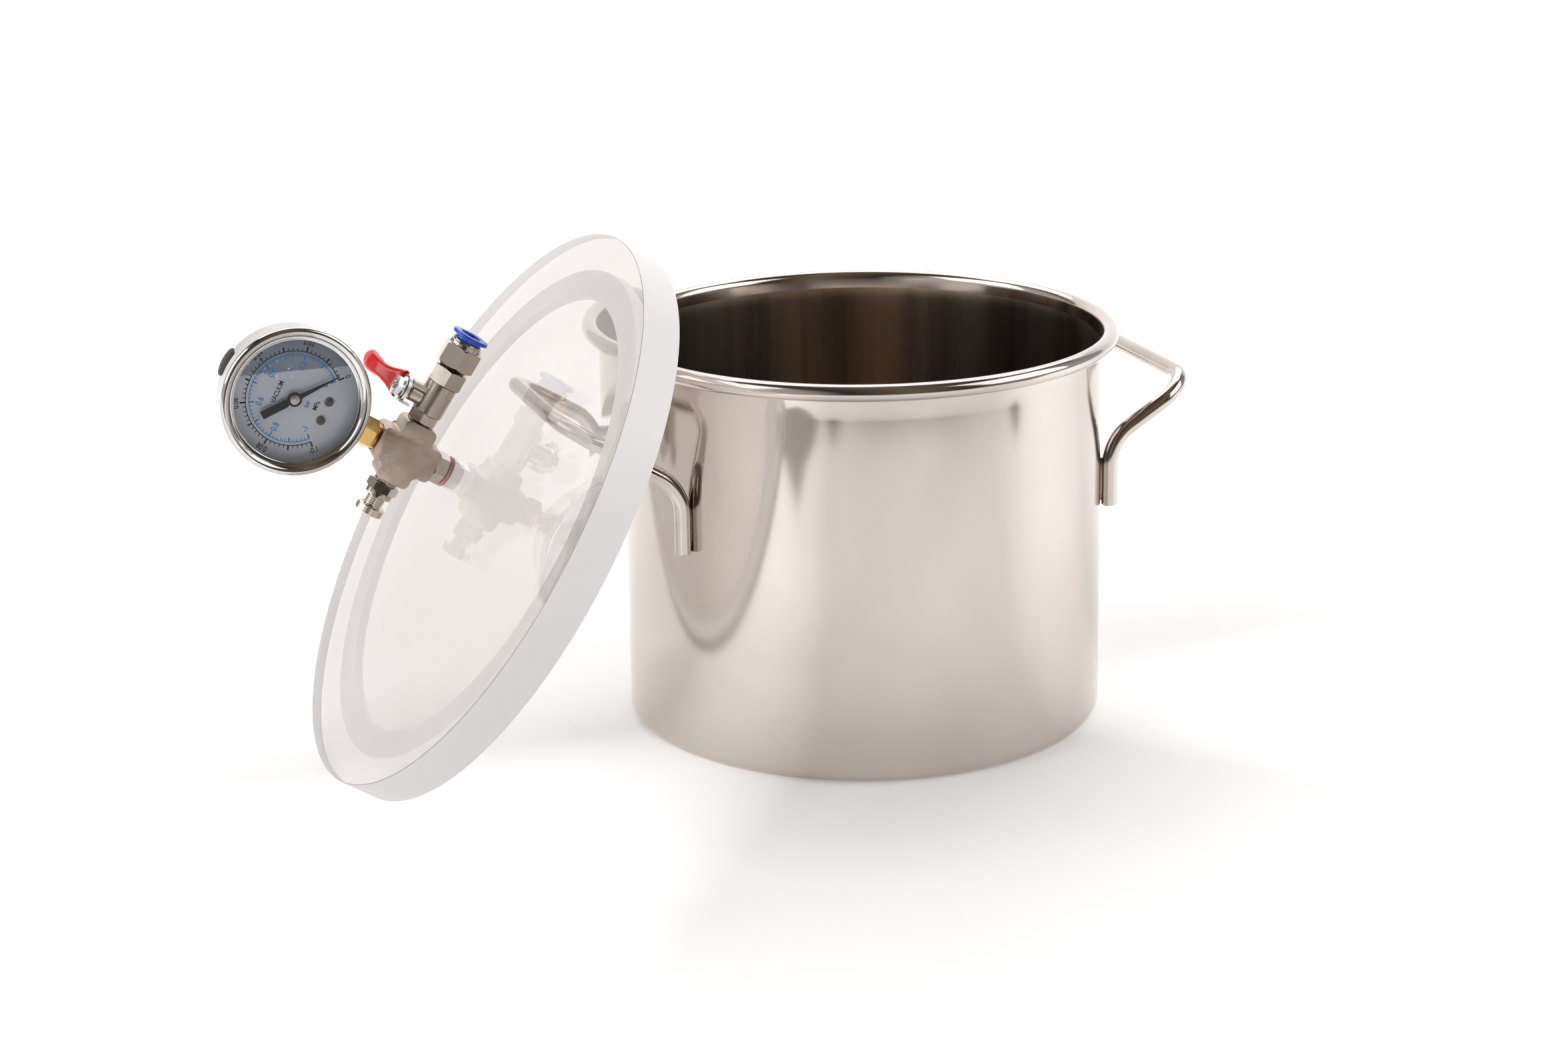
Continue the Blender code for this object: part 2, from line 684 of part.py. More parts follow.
def valve_body():
    """Thread, hexagon and round body, bored for the ball and pierced for the stem."""
    body = nut("valve_body", 14.0, 17.0, 22.6, VALVE, nickel, math.radians(8.0))
    thread = [(0, 8.0), (5.7, 8.0), (THREAD_R, 8.8), (THREAD_R, 16.0), (5.9, 16.6), (5.9, 17.6), (0, 17.6)]
    join(body, lathe("thread", thread, VALVE))
    barrel = [(0, 21.6), (7.3, 21.6), (VALVE_R, 22.3), (VALVE_R, 38.0), (0, 38.0)]
    join(body, lathe("barrel", barrel, VALVE, None, 24))
    join(body, lathe("boss", [(0, 5.0), (4.1, 5.0), (4.1, 12.6), (3.7, 13.0), (0, 13.0)], STEM))
    stop = rounded([(-4.2, -6.4), (4.2, -6.4), (4.2, -3.5), (-4.2, -3.5)], [0.6], 1)
    join(body, prism("stop", stop, 5.5, 14.3, STEM))
    drill(body, 3.0, 6.0, 24.0, VALVE, 16)
    drill(body, CHAMBER_R, 21.5, 40.0, VALVE)
    return drill(body, 2.35, 2.0, 15.0, STEM, 16)


def valve_end_cap():
    """The hexagon end that screws into the body and holds the seats against the ball."""
    cap = nut("valve_end_cap", 16.4, 38.3, 46.8, VALVE, nickel, math.radians(18.0))
    spigot = [(0, 33.5), (5.3, 33.5), (5.65, 33.9), (5.65, 39.2), (0, 39.2)]
    join(cap, lathe("spigot", spigot, VALVE))
    drill(cap, 3.0, 32.0, 40.5, VALVE, 16)
    return drill(cap, 5.1, 39.6, 48.0, VALVE)


def valve_ball():
    """The ball, shut: its bore lies across the flow and its slot takes the stem."""
    rings = arc((0, 0), BALL_R, -90, 90, 10)
    rings[0], rings[-1] = (0.0, -BALL_R), (0.0, BALL_R)
    ball = lathe("valve_ball", rings, STEM, chromed, 20)
    across = STEM @ frame((0, 0, 0), (0, 0, 1), (1, 0, 0))
    drill(ball, BALL_BORE, -7, 7, across, 20)
    slot = [(-1.15, -6), (1.15, -6), (1.15, 6), (-1.15, 6)]
    return cut(ball, prism("slot", slot, 3.5, 7, STEM))


def chromed(name):
    return material(name, (0.72, 0.72, 0.73), 1.0, 0.07)


def valve_seat(name, side):
    """A plastic ring shaped to the ball, on either side of it."""
    profile = [(3.2, -5.7), (5.7, -5.7), (5.7, -3.2), (4.4, -3.2), (3.2, -4.35)]
    turned = [(r, BALL_Z + side * z) for r, z in profile]
    return lathe(name, turned, VALVE, white_plastic)


def valve_stem():
    """A brass stem with a tang in the ball's slot and a slotted outer end."""
    stem = [(0, 5.1), (2.0, 5.1), (2.0, 21.6), (1.6, 22.0), (0, 22.0)]
    made = lathe("valve_stem", stem, STEM, brass, 16)
    tang = [(-0.8, -2.0), (0.8, -2.0), (0.8, 2.0), (-0.8, 2.0)]
    join(made, prism("tang", tang, 3.8, 6.0, STEM))
    groove = [(-3, -0.45), (3, -0.45), (3, 0.45), (-3, 0.45)]
    return cut(made, prism("groove", groove, 21.0, 23.0, STEM @ Matrix.Rotation(0.5, 4, "Z")))


def lever_stations():
    """Reach, height and half-width of the lever from its hub to its rounded end."""
    end = LEVER_REACH
    return [
        (5.6, 16.0, 6.3),
        (8.0, 16.4, 6.0),
        (11.0, 18.2, 5.0),
        (14.5, 21.2, 3.4),
        (18.5, 24.2, 2.6),
        (23.0, 26.4, 3.1),
        (28.0, 27.6, 3.6),
        (32.5, 28.1, 3.6),
        (end - 3.2, 28.3, 2.7),
        (end - 1.9, 28.4, 1.5),
    ]


def strip_sections(stations, half_thick, grow, ends):
    """Flat eight-sided sections square to the lever's run."""
    sections = []
    for k, (reach, height, half) in enumerate(stations):
        before = stations[max(k - 1, 0)]
        after = stations[min(k + 1, len(stations) - 1)]
        along = Vector((after[0] - before[0], 0, after[1] - before[1])).normalized()
        normal = Vector((-along.z, 0, along.x))
        shift = along * (ends if k == len(stations) - 1 else 0.0)
        middle = Vector((reach, 0, height)) + shift
        wide, thick = half + grow, half_thick
        shape = [(-wide, -thick * 0.5), (-wide * 0.8, -thick), (wide * 0.8, -thick), (wide, -thick * 0.5)]
        shape += [(wide, thick * 0.5), (wide * 0.8, thick), (-wide * 0.8, thick), (-wide, thick * 0.5)]
        sections.append([middle + Vector((0, a, 0)) + normal * b for a, b in shape])
    return sections


def valve_lever():
    """A pressed steel lever: round hub, stop tab bent down, and a cranked arm."""
    hub = lathe("valve_lever", [(0, 15.0), (6.9, 15.0), (6.9, 16.8), (0, 16.8)], STEM, zinc, 28)
    arm = [(2.0, 15.95, 6.2), *lever_stations()]
    join(hub, loft("arm", strip_sections(arm, 0.85, 0.0, 0.0), STEM))
    tab = [(-3.0, 5.2), (3.0, 5.2), (3.0, 6.6), (-3.0, 6.6)]
    join(hub, prism("tab", tab, 10.2, 16.0, STEM))
    return drill(hub, 2.35, 14.0, 18.0, STEM, 16)


def lever_sleeve():
    """A dipped vinyl sleeve over the arm of the lever, open at the hub."""
    stations = lever_stations()
    first = stations[1]
    root = (7.4, 16.3, 6.1)
    run = [root, first, *stations[2:]]
    outer = strip_sections(run, 2.35, 1.35, 1.9)
    inner = strip_sections(run, 1.2, 0.35, 0.4)
    return sock("lever_sleeve", outer, inner, STEM, red_vinyl)


def red_vinyl(name):
    return material(name, (0.72, 0.03, 0.03), 0.0, 0.28)


def lever_nut():
    """A flanged nut that holds the lever on the stem."""
    made = nut("lever_nut", 9.2, 18.0, 21.2, STEM, zinc, math.radians(10.0), 0.5)
    flange = [(0, 17.1), (5.9, 17.1), (5.9, 17.7), (5.0, 18.4), (0, 18.4)]
    join(made, lathe("flange", flange, STEM))
    return drill(made, 2.35, 16.0, 23.0, STEM, 16)


# ---------------------------------------------------------------- push-in fitting


def pushfit_body():
    """Thread, hexagon and stepped collar, bored to take a 10 mm tube."""
    body = nut("pushfit_body", 18.0, 48.3, 59.6, VALVE, nickel, math.radians(22.0), 1.2)
    thread = [(0, 40.6), (4.3, 40.6), (4.75, 41.1), (4.75, 49.0), (0, 49.0)]
    join(body, lathe("thread", thread, VALVE))
    collar = [(0, 58.6), (8.3, 58.6), (8.3, 61.0), (7.9, 61.5), (7.9, 62.2), (7.6, 62.5), (0, 62.5)]
    join(body, lathe("collar", collar, VALVE))
    drill(body, 2.9, 39.0, 52.0, VALVE, 16)
    return drill(body, 7.2, 49.8, 64.0, VALVE)


def pushfit_thread_ring():
    profile = [(5.2, 47.1), (6.8, 47.1), (7.1, 47.35), (7.1, 47.75), (6.8, 48.0), (5.2, 48.0)]
    return lathe("pushfit_thread_ring", profile, VALVE, black_rubber)


def pushfit_tube_seal():
    profile = [(5.3, 50.9), (5.8, 50.2), (6.5, 50.2), (6.9, 50.8), (6.9, 52.1), (6.5, 52.7), (5.8, 52.7), (5.3, 52.0)]
    return lathe("pushfit_tube_seal", profile, VALVE, black_rubber, 20)


def pushfit_grab_ring():
    """A dished ring of spring steel whose inner edge bites the tube."""
    profile = [(6.9, 53.0), (6.9, 53.3), (6.2, 53.4), (5.3, 54.1), (5.2, 53.8), (6.1, 53.0)]
    return lathe("pushfit_grab_ring", profile, VALVE, spring_steel, 20)


def pushfit_collet():
    """The release ring: pressing its flange frees the tube."""
    profile = [(5.15, 56.0), (6.2, 56.0), (6.8, 57.0), (6.8, 64.3), (9.1, 64.3), (9.3, 64.6)]
    profile += [(9.3, 65.9), (9.0, 66.2), (6.0, 66.2), (5.15, 65.4)]
    return lathe("pushfit_collet", profile, VALVE, blue_plastic, 28)


def blue_plastic(name):
    return material(name, (0.02, 0.13, 0.80), 0.0, 0.30)


# ---------------------------------------------------------------- bleed valve


def bleed_body():
    """Thread, hexagon and round collar, with the seat at the end of a threaded bore."""
    body = nut("bleed_body", 14.0, 18.5, 23.2, BLEED, nickel, math.radians(16.0))
    thread = [(0, 8.2), (5.95, 8.2), (5.95, 15.5)] + ridges(THREAD_R, 0.45, 15.5, 18.2, 2)
    thread += [(6.0, 18.9), (0, 18.9)]
    join(body, lathe("thread", thread, BLEED))
    collar = [(0, 22.6), (6.7, 22.6), (6.95, 23.3), (6.95, 25.7), (6.6, 26.0), (0, 26.0)]
    join(body, lathe("collar", collar, BLEED))
    drill(body, 1.8, 7.0, 16.0, BLEED, 16)
    return drill(body, 5.3, 14.6, 27.0, BLEED)


def bleed_seal():
    profile = [(0, 14.9), (2.9, 14.9), (3.1, 15.2), (3.1, 17.0), (0, 17.0)]
    return lathe("bleed_seal", profile, BLEED, black_rubber, 20)


def bleed_screw():
    """The knurled knob with its thread; a flat along the thread lets air past."""
    stem = [(0, 17.3), (4.5, 17.3), (4.5, 26.0)] + ridges(4.95, 0.45, 26.0, 31.0, 4)
    stem += [(4.5, 32.2), (0, 32.2)]
    made = lathe("bleed_screw", stem, BLEED, nickel)
    teeth = 24
    edge = toothed(7.35, 0.35, 0.0, 2 * math.pi, teeth)
    knob = prism("knob", edge, 31.6, 35.8, BLEED)
    ends = [(0, 31.0), (6.6, 31.0), (6.6, 31.6), (7.6, 32.3), (7.6, 35.1), (6.6, 35.8), (6.6, 36.5), (0, 36.5)]
    combine(knob, lathe("eased", ends, BLEED, None, 24), "INTERSECT")
    join(made, knob)
    flat = [(3.9, -6), (9, -6), (9, 6), (3.9, 6)]
    return cut(made, prism("flat", flat, 16.0, 30.9, BLEED @ Matrix.Rotation(2.4, 4, "Z")))


# ---------------------------------------------------------------- all of it


def build_pot():
    pot_shell()
    handle("handle_right", 1)
    handle("handle_left", -1)


def build_lid():
    lid_disc()
    lid_gasket()
    lid_nipple()
    nipple_washer()
    cross_fitting()


def build_gauge():
    gauge_case()
    gauge_bezel()
    gauge_window()
    gauge_window_seal()
    gauge_dial()
    dial_screw("dial_screw_left", -4.9)
    dial_screw("dial_screw_right", 4.9)
    gauge_socket()
    gauge_fill_plug()


def build_movement():
    bourdon_tube()
    movement_back_plate()
    movement_front_plate()
    sector_gear()
    sector_link()
    pointer_shaft()
    hairspring()
    pointer()


def build_valve():
    valve_body()
    valve_end_cap()
    valve_ball()
    valve_seat("valve_seat_lower", 1)
    valve_seat("valve_seat_upper", -1)
    valve_stem()
    valve_lever()
    lever_sleeve()
    lever_nut()


def build_outlets():
    pushfit_body()
    pushfit_thread_ring()
    pushfit_tube_seal()
    pushfit_grab_ring()
    pushfit_collet()
    bleed_body()
    bleed_seal()
    bleed_screw()


clear_scene()
build_pot()
build_lid()
build_gauge()
build_movement()
build_valve()
build_outlets()
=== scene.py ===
from math import copysign, cos, pi, radians, sin, sqrt, tan

import bmesh
import bpy
from mathutils import Matrix, Vector

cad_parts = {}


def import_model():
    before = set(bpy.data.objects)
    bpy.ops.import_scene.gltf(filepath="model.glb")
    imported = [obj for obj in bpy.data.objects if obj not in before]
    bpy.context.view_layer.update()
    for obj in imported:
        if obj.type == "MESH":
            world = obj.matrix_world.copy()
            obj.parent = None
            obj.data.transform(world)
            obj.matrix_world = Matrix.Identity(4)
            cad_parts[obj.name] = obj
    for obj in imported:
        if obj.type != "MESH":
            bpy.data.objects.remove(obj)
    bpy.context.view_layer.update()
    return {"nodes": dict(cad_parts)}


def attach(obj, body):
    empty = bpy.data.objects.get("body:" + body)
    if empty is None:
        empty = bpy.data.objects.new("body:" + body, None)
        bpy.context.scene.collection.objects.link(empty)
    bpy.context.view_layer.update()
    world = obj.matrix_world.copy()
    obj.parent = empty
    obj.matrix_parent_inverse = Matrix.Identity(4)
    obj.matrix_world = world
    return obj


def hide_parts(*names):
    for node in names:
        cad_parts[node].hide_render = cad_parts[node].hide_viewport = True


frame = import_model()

# Lengths are millimetres until a mesh is placed, as in the CAD source.
MM = 0.001
POT_R, POT_H, POT_WALL, BASE_ROUND = 120.0, 200.0, 1.0, 6.7
CURL_R, CURL_AXIS_R = 4.1, 123.9
ROD_R, LEG_X, LEG_Y, LEG_FOOT_Z, BEND_Z = 4.0, 112.5, 53.0, 107.7, 141.0
GRIP_X, GRIP_Z, BEND_ROUND, CORNER_ROUND = 157.0, 168.3, 23.0, 20.0
LID_R, LID_T, LID_EDGE, LID_Y = 146.0, 20.0, 0.6, -18.0
LEAN = radians(32.4)
HOLE_X, HOLE_Y, HOLE_R = 2.5, 52.0, 6.75
FITTING_TURN = radians(-4.0)
GASKET_IN, GASKET_OUT, GASKET_T = 115.0, 129.0, 4.7
THREAD_R, PORT_R = 6.4, 6.75
CROSS_Z, CROSS_REACH, CROSS_ARM, CROSS_DEPTH = 25.2, 16.2, 8.5, 8.5
GAUGE_Z = 90.5
CASE_R, CASE_BACK, CASE_WALL, CASE_ROUND = 34.0, -7.0, 0.8, 5.0
BEZEL_R, WINDOW_R, SIGHT_R = 36.5, 35.0, 30.2
DIAL_Z, PRINT_LOW, PRINT_HIGH = 13.0, 13.01, 13.05
DIAL_TURN = radians(4.5)
SCALE_START, SCALE_SWEEP, SCALE_STEPS = radians(-45.0), radians(270.0), 50
OUTER_SCALE_R, INNER_SCALE_R = 23.3, 21.6
WINDOW_LOW, WINDOW_HIGH = 17.3, 19.0
BALL_Z = 27.5
STEM_BORE_R, WATERWAY_R = 2.35, 3.0
LEVER_REACH = 38.0
GAP = 0.3


# ---- placing


def at(origin, x_axis, z_axis):
    """A placement matrix from an origin and two perpendicular axes."""
    x = Vector(x_axis).normalized()
    z = Vector(z_axis).normalized()
    turn = Matrix((x, z.cross(x), z)).transposed().to_4x4()
    return Matrix.Translation(Vector(origin)) @ turn


def lid_place():
    normal = Vector((-cos(LEAN), 0.0, sin(LEAN)))
    up = Vector((sin(LEAN), 0.0, cos(LEAN)))
    low_edge = LID_R * cos(LEAN) + (LID_T - LID_EDGE) * sin(LEAN)
    low_face = (LID_R - LID_EDGE) * cos(LEAN) + LID_T * sin(LEAN)
    height = max(low_edge, low_face) + 0.02
    reach = normal.dot(Vector((-GRIP_X, 0.0, GRIP_Z))) + ROD_R + GAP + LID_T
    across = (sin(LEAN) * height - reach) / cos(LEAN)
    return at((across, LID_Y, height), up, normal)


WORLD = Matrix.Identity(4)
LID = lid_place()
HOLE = LID @ Matrix.Translation((HOLE_X, HOLE_Y, 0.0))
FIT = HOLE @ Matrix.Rotation(FITTING_TURN, 4, "Z")
CROSS = FIT @ Matrix.Translation((0.0, 0.0, CROSS_Z))
VALVE = CROSS @ at((0, 0, 0), (0, 0, 1), (1, 0, 0))
BLEED = CROSS @ at((0, 0, 0), (0, 0, 1), (-1, 0, 0))
GAUGE = HOLE @ at((0, 0, GAUGE_Z), (1, 0, 0), (0, -1, 0))
DIAL = GAUGE @ Matrix.Rotation(DIAL_TURN, 4, "Z")
SOCKET = GAUGE @ at((0, 0, 0), (1, 0, 0), (0, -1, 0))
STEM = VALVE @ at((0, 0, BALL_Z), (0, -1, 0), (1, 0, 0))
FILL = GAUGE @ at((0, 0, 3.8), (1, 0, 0), (0, 1, 0))


# ---- materials


class Graph:
    """A short way to write a material's nodes."""

    def __init__(self, name, material=None):
        self.material = material or bpy.data.materials.new(name)
        self.material.use_nodes = True
        self.tree = self.material.node_tree
        self.shader = self.tree.nodes["Principled BSDF"]

    def node(self, kind, **inputs):
        made = self.tree.nodes.new(kind)
        for key, value in inputs.items():
            made.inputs[key.replace("_", " ")].default_value = value
        return made

    def link(self, source, target):
        self.tree.links.new(source, target)

    def position(self, stretch=(1, 1, 1)):
        """Object coordinates in metres, stretched along each axis."""
        coordinates = self.node("ShaderNodeTexCoord")
        scaled = self.node("ShaderNodeMapping", Scale=stretch)
        self.link(coordinates.outputs["Object"], scaled.inputs["Vector"])
        return scaled.outputs["Vector"]

    def vector(self, operation, source):
        """A vector node fed from a socket."""
        made = self.node("ShaderNodeVectorMath")
        made.operation = operation
        self.link(source, made.inputs[0])
        return made

    def along(self, way, source=None):
        """How far a point in metres, or another vector, lies along a direction."""
        made = self.vector("DOT_PRODUCT", source or self.position())
        made.inputs[1].default_value = way
        return made.outputs["Value"]

    def work_out(self, operation, *values):
        """A sum or other operation on sockets and plain numbers."""
        made = self.node("ShaderNodeMath")
        made.operation = operation
        for socket, value in zip(made.inputs, values):
            if isinstance(value, float):
                socket.default_value = value
            else:
                self.link(value, socket)
        return made.outputs[0]

    def noise(self, scale, detail=3.0, stretch=(1, 1, 1), rough=0.5):
        made = self.node("ShaderNodeTexNoise", Scale=scale, Detail=detail, Roughness=rough)
        self.link(self.position(stretch), made.inputs["Vector"])
        return made.outputs["Fac"]

    def spread(self, source, low, high, start=0.3, end=0.7):
        """Maps a grey value onto a range."""
        made = self.node("ShaderNodeMapRange", From_Min=start, From_Max=end, To_Min=low, To_Max=high)
        self.link(source, made.inputs["Value"])
        return made.outputs["Result"]

    def mix(self, factor, first, second):
        """Mixes two colours by a grey value."""
        made = self.node("ShaderNodeMix")
        made.data_type = "RGBA"
        self.link(factor, made.inputs["Factor"])
        for socket, value in ((made.inputs[6], first), (made.inputs[7], second)):
            if isinstance(value, tuple):
                socket.default_value = (*value, 1.0)
            else:
                self.link(value, socket)
        return made.outputs[2]

    def bump(self, height, strength, distance=0.0002, after=None):
        made = self.node("ShaderNodeBump", Strength=strength, Distance=distance)
        self.link(height, made.inputs["Height"])
        if after is not None:
            self.link(after, made.inputs["Normal"])
        return made.outputs["Normal"]

    def set(self, **values):
        for key, value in values.items():
            socket = self.shader.inputs[key.replace("_", " ")]
            if isinstance(value, tuple):
                socket.default_value = (*value, 1.0)
            elif isinstance(value, (int, float)):
                socket.default_value = value
            else:
                self.link(value, socket)
        return self.material


def darker(colour, share):
    return tuple(channel * share for channel in colour)


def tune(look, socket, value):
    """Sets one plain value of a material's shader."""
    look.node_tree.nodes["Principled BSDF"].inputs[socket].default_value = value


def metal(name, colour, smooth, rough, grain=420.0, mark=0.05, stretch=(1, 1, 1), tint=0.86):
    """Bright metal whose polish, tone and surface vary from place to place."""
    g = Graph(name)
    broad = g.noise(35.0, 4.0, stretch)
    fine = g.noise(grain, 5.0, stretch)
    tone = g.mix(g.spread(broad, 0.0, 1.0), colour, darker(colour, tint))
    polish = g.spread(g.noise(90.0, 4.0, stretch), smooth, rough)
    normal = g.bump(fine, mark, 0.0001)
    return g.set(Base_Color=tone, Metallic=1.0, Roughness=polish, Normal=normal)


def pot_steel(name, colour, low=0.085, high=0.15):
    """Polished drawn steel: fine upright brushing, soft mottling and faint waves."""
    g = Graph(name)
    lines = g.noise(700.0, 3.0, (1, 1, 0.02), 0.6)
    clouds = g.noise(14.0, 3.0, (1, 1, 0.6))
    waves = g.noise(9.0, 1.0, (1, 1, 0.8))
    tone = g.mix(g.spread(clouds, 0.0, 1.0), colour, darker(colour, 0.90))
    polish = g.spread(clouds, low, high)
    normal = g.bump(lines, 0.05, 0.0001)
    normal = g.bump(waves, 0.22, 0.0012, normal)
    return g.set(Base_Color=tone, Metallic=1.0, Roughness=polish, Normal=normal)


def cast(name, colour):
    """Cast and plated brass: matt, with a grainy skin and a few pits."""
    g = Graph(name)
    grain = g.noise(1500.0, 6.0, (1, 1, 1), 0.65)
    pits = g.node("ShaderNodeTexVoronoi", Scale=330.0)
    g.link(g.position(), pits.inputs["Vector"])
    pit = g.spread(pits.outputs["Distance"], 1.0, 0.0, 0.05, 0.28)
    tone = g.mix(g.spread(g.noise(160.0), 0.0, 1.0), colour, darker(colour, 0.8))
    normal = g.bump(grain, 0.30, 0.00012)
    normal = g.bump(pit, 0.35, 0.00022, normal)
    return g.set(Base_Color=tone, Metallic=1.0, Roughness=g.spread(grain, 0.30, 0.46), Normal=normal)


def plastic(name, colour, smooth, rough, coat=0.0, tint=0.85, scatter=0.0):
    """Moulded or dipped plastic: slight tone changes and a faint orange peel."""
    g = Graph(name)
    tone = g.mix(g.spread(g.noise(120.0), 0.0, 1.0), colour, darker(colour, tint))
    normal = g.bump(g.noise(600.0, 3.0), 0.06, 0.0001)
    polish = g.spread(g.noise(300.0), smooth, rough)
    g.set(Coat_Weight=coat, Subsurface_Weight=scatter, Subsurface_Scale=0.002)
    return g.set(Base_Color=tone, Roughness=polish, Normal=normal)


def clear(name, colour, rough, through, ior=1.49, haze=0.05, mark=0.0):
    """Clear or frosted plastic or glass, with uneven polish."""
    g = Graph(name)
    polish = g.spread(g.noise(60.0, 4.0), rough, rough + haze)
    tone = g.mix(g.spread(g.noise(25.0), 0.0, 1.0), colour, darker(colour, 0.985))
    if mark:
        g.set(Normal=g.bump(g.noise(900.0, 4.0), mark, 0.00015))
    return g.set(Base_Color=tone, Roughness=polish, Transmission_Weight=through, IOR=ior)


STEEL = (0.62, 0.565, 0.525)
NICKEL = (0.58, 0.52, 0.455)
BRASS = (0.80, 0.52, 0.20)
ZINC = (0.74, 0.77, 0.78)


# ---- meshes


def add(name, data):
    """A new object in the scene."""
    obj = bpy.data.objects.new(name, data)
    bpy.context.scene.collection.objects.link(obj)
    return obj


def mesh_from(name, bm):
    mesh = bpy.data.meshes.new(name)
    bm.to_mesh(mesh)
    bm.free()
    return mesh


def worked_out(obj):
    """A mesh of the object as its modifiers or its text make it."""
    bpy.context.view_layer.update()
    graph = bpy.context.evaluated_depsgraph_get()
    return bpy.data.meshes.new_from_object(obj.evaluated_get(graph))


def finish(name, bm, place, body=None, look=None, angle=35.0):
    """Turns a bmesh in millimetres into an object in place, smooth but for its edges."""
    bmesh.ops.remove_doubles(bm, verts=bm.verts, dist=1e-4)
    bmesh.ops.recalc_face_normals(bm, faces=bm.faces)
    bm.transform(place)
    bmesh.ops.scale(bm, vec=(MM, MM, MM), verts=bm.verts)
    if bm.calc_volume(signed=True) < 0:
        bmesh.ops.reverse_faces(bm, faces=bm.faces)
    obj = add(name, mesh_from(name, bm))
    smooth(obj, angle)
    return dress(obj, body, look)


def smooth(obj, angle=35.0):
    """Smooth shading, with edges sharper than the angle left crisp."""
    mesh = obj.data
    bm = bmesh.new()
    bm.from_mesh(mesh)
    for face in bm.faces:
        face.smooth = True
    for edge in bm.edges:
        edge.smooth = edge.calc_face_angle(0.0) < radians(angle)
    bm.to_mesh(mesh)
    bm.free()


def dress(obj, body, look):
    if look is not None:
        obj.data.materials.clear()
        obj.data.materials.append(look)
    if body is not None:
        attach(obj, body)
    return obj


def stand_for(obj, *nodes):
    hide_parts(*nodes)
    return obj


def bridge(bm, first, second):
    count = max(len(first), len(second))
    for i in range(count):
        j = (i + 1) % count
        corners = [first[i % len(first)], first[j % len(first)]]
        corners += [second[j % len(second)], second[i % len(second)]]
        unique = [v for k, v in enumerate(corners) if v not in corners[:k]]
        if len(unique) > 2:
            bm.faces.new(unique)


def lathe(name, profile, place, body=None, look=None, steps=64, angle=35.0):
    """Turns a closed (radius, height) outline about Z."""
    bm = bmesh.new()
    rings = []
    for radius, height in profile:
        angles = turns(steps) if radius > 1e-6 else [0.0]
        rings.append([bm.verts.new((radius * cos(a), radius * sin(a), height)) for a in angles])
    for k, ring in enumerate(rings):
        after = rings[(k + 1) % len(rings)]
        if len(ring) > 1 or len(after) > 1:
            bridge(bm, ring, after)
    return finish(name, bm, place, body, look, angle)


def prism(name, outline, low, high, place, body=None, look=None, chamfer=0.0, rounds=1):
    bm = bmesh.new()
    bottom = [bm.verts.new((x, y, low)) for x, y in outline]
    top = [bm.verts.new((x, y, high)) for x, y in outline]
    bridge(bm, bottom, top)
    ends = [bm.faces.new(bottom[::-1]), bm.faces.new(top)]
    if chamfer:
        edges = list({edge for face in ends for edge in face.edges})
        bmesh.ops.bevel(bm, geom=edges, offset=chamfer, segments=rounds, profile=0.5, affect="EDGES")
    return finish(name, bm, place, body, look)


def loft(name, sections, place, body=None, look=None):
    bm = bmesh.new()
    rings = [[bm.verts.new(point) for point in section] for section in sections]
    for first, second in zip(rings, rings[1:]):
        bridge(bm, first, second)
    bm.faces.new(rings[0][::-1])
    bm.faces.new(rings[-1])
    return finish(name, bm, place, body, look)


def combine(target, other, operation):
    """Bakes one exact Boolean into the target and removes the other object."""
    step = target.modifiers.new(operation.lower(), "BOOLEAN")
    step.operation = operation
    step.solver = "EXACT"
    step.object = other
    baked = worked_out(target)
    target.modifiers.clear()
    target.data = baked
    bpy.data.objects.remove(other)
    return target


def drill(target, radius, low, high, place, steps=48):
    tool = lathe("drill", [(0, low), (radius, low), (radius, high), (0, high)], place, steps=steps)
    return combine(target, tool, "DIFFERENCE")


def round_edges(obj, width, segments=2, angle=35.0):
    """A small rounding on every sharp edge, so that each one catches light."""
    bevel = obj.modifiers.new("rounding", "BEVEL")
    bevel.width = width * MM
    bevel.segments = segments
    bevel.limit_method = "ANGLE"
    bevel.angle_limit = radians(angle)
    bevel.harden_normals = True
    bevel.use_clamp_overlap = True
    return obj


def turns(count):
    """Angles spaced evenly round a circle."""
    return [2 * pi * k / count for k in range(count)]


def arc(centre, radius, start, end, count):
    points = []
    for k in range(count + 1):
        angle = radians(start + (end - start) * k / count)
        points.append((centre[0] + radius * cos(angle), centre[1] + radius * sin(angle)))
    return points


def fillet(corner, before, after, radius, count):
    half = before.angle(after) / 2
    reach = radius / tan(half)
    middle = corner + (before + after).normalized() * (radius / sin(half))
    first = corner + before * reach - middle
    last = corner + after * reach - middle
    spread = first.angle(last)
    points = []
    for k in range(count + 1):
        share = k / count
        weight_a = sin((1 - share) * spread) / sin(spread)
        weight_b = sin(share * spread) / sin(spread)
        points.append(middle + first * weight_a + last * weight_b)
    return points


def rounded(corners, radii, count=6):
    outline = []
    for k, corner in enumerate(corners):
        here = Vector(corner)
        before = (Vector(corners[k - 1]) - here).normalized()
        after = (Vector(corners[(k + 1) % len(corners)]) - here).normalized()
        outline += fillet(here, before, after, radii[k % len(radii)], count)
    return [tuple(point) for point in outline]


def hexagon(across_flats, degrees):
    radius = across_flats / sqrt(3.0)
    angles = [radians(degrees) + radians(60.0 * k) for k in range(6)]
    return [(radius * cos(a), radius * sin(a)) for a in angles]


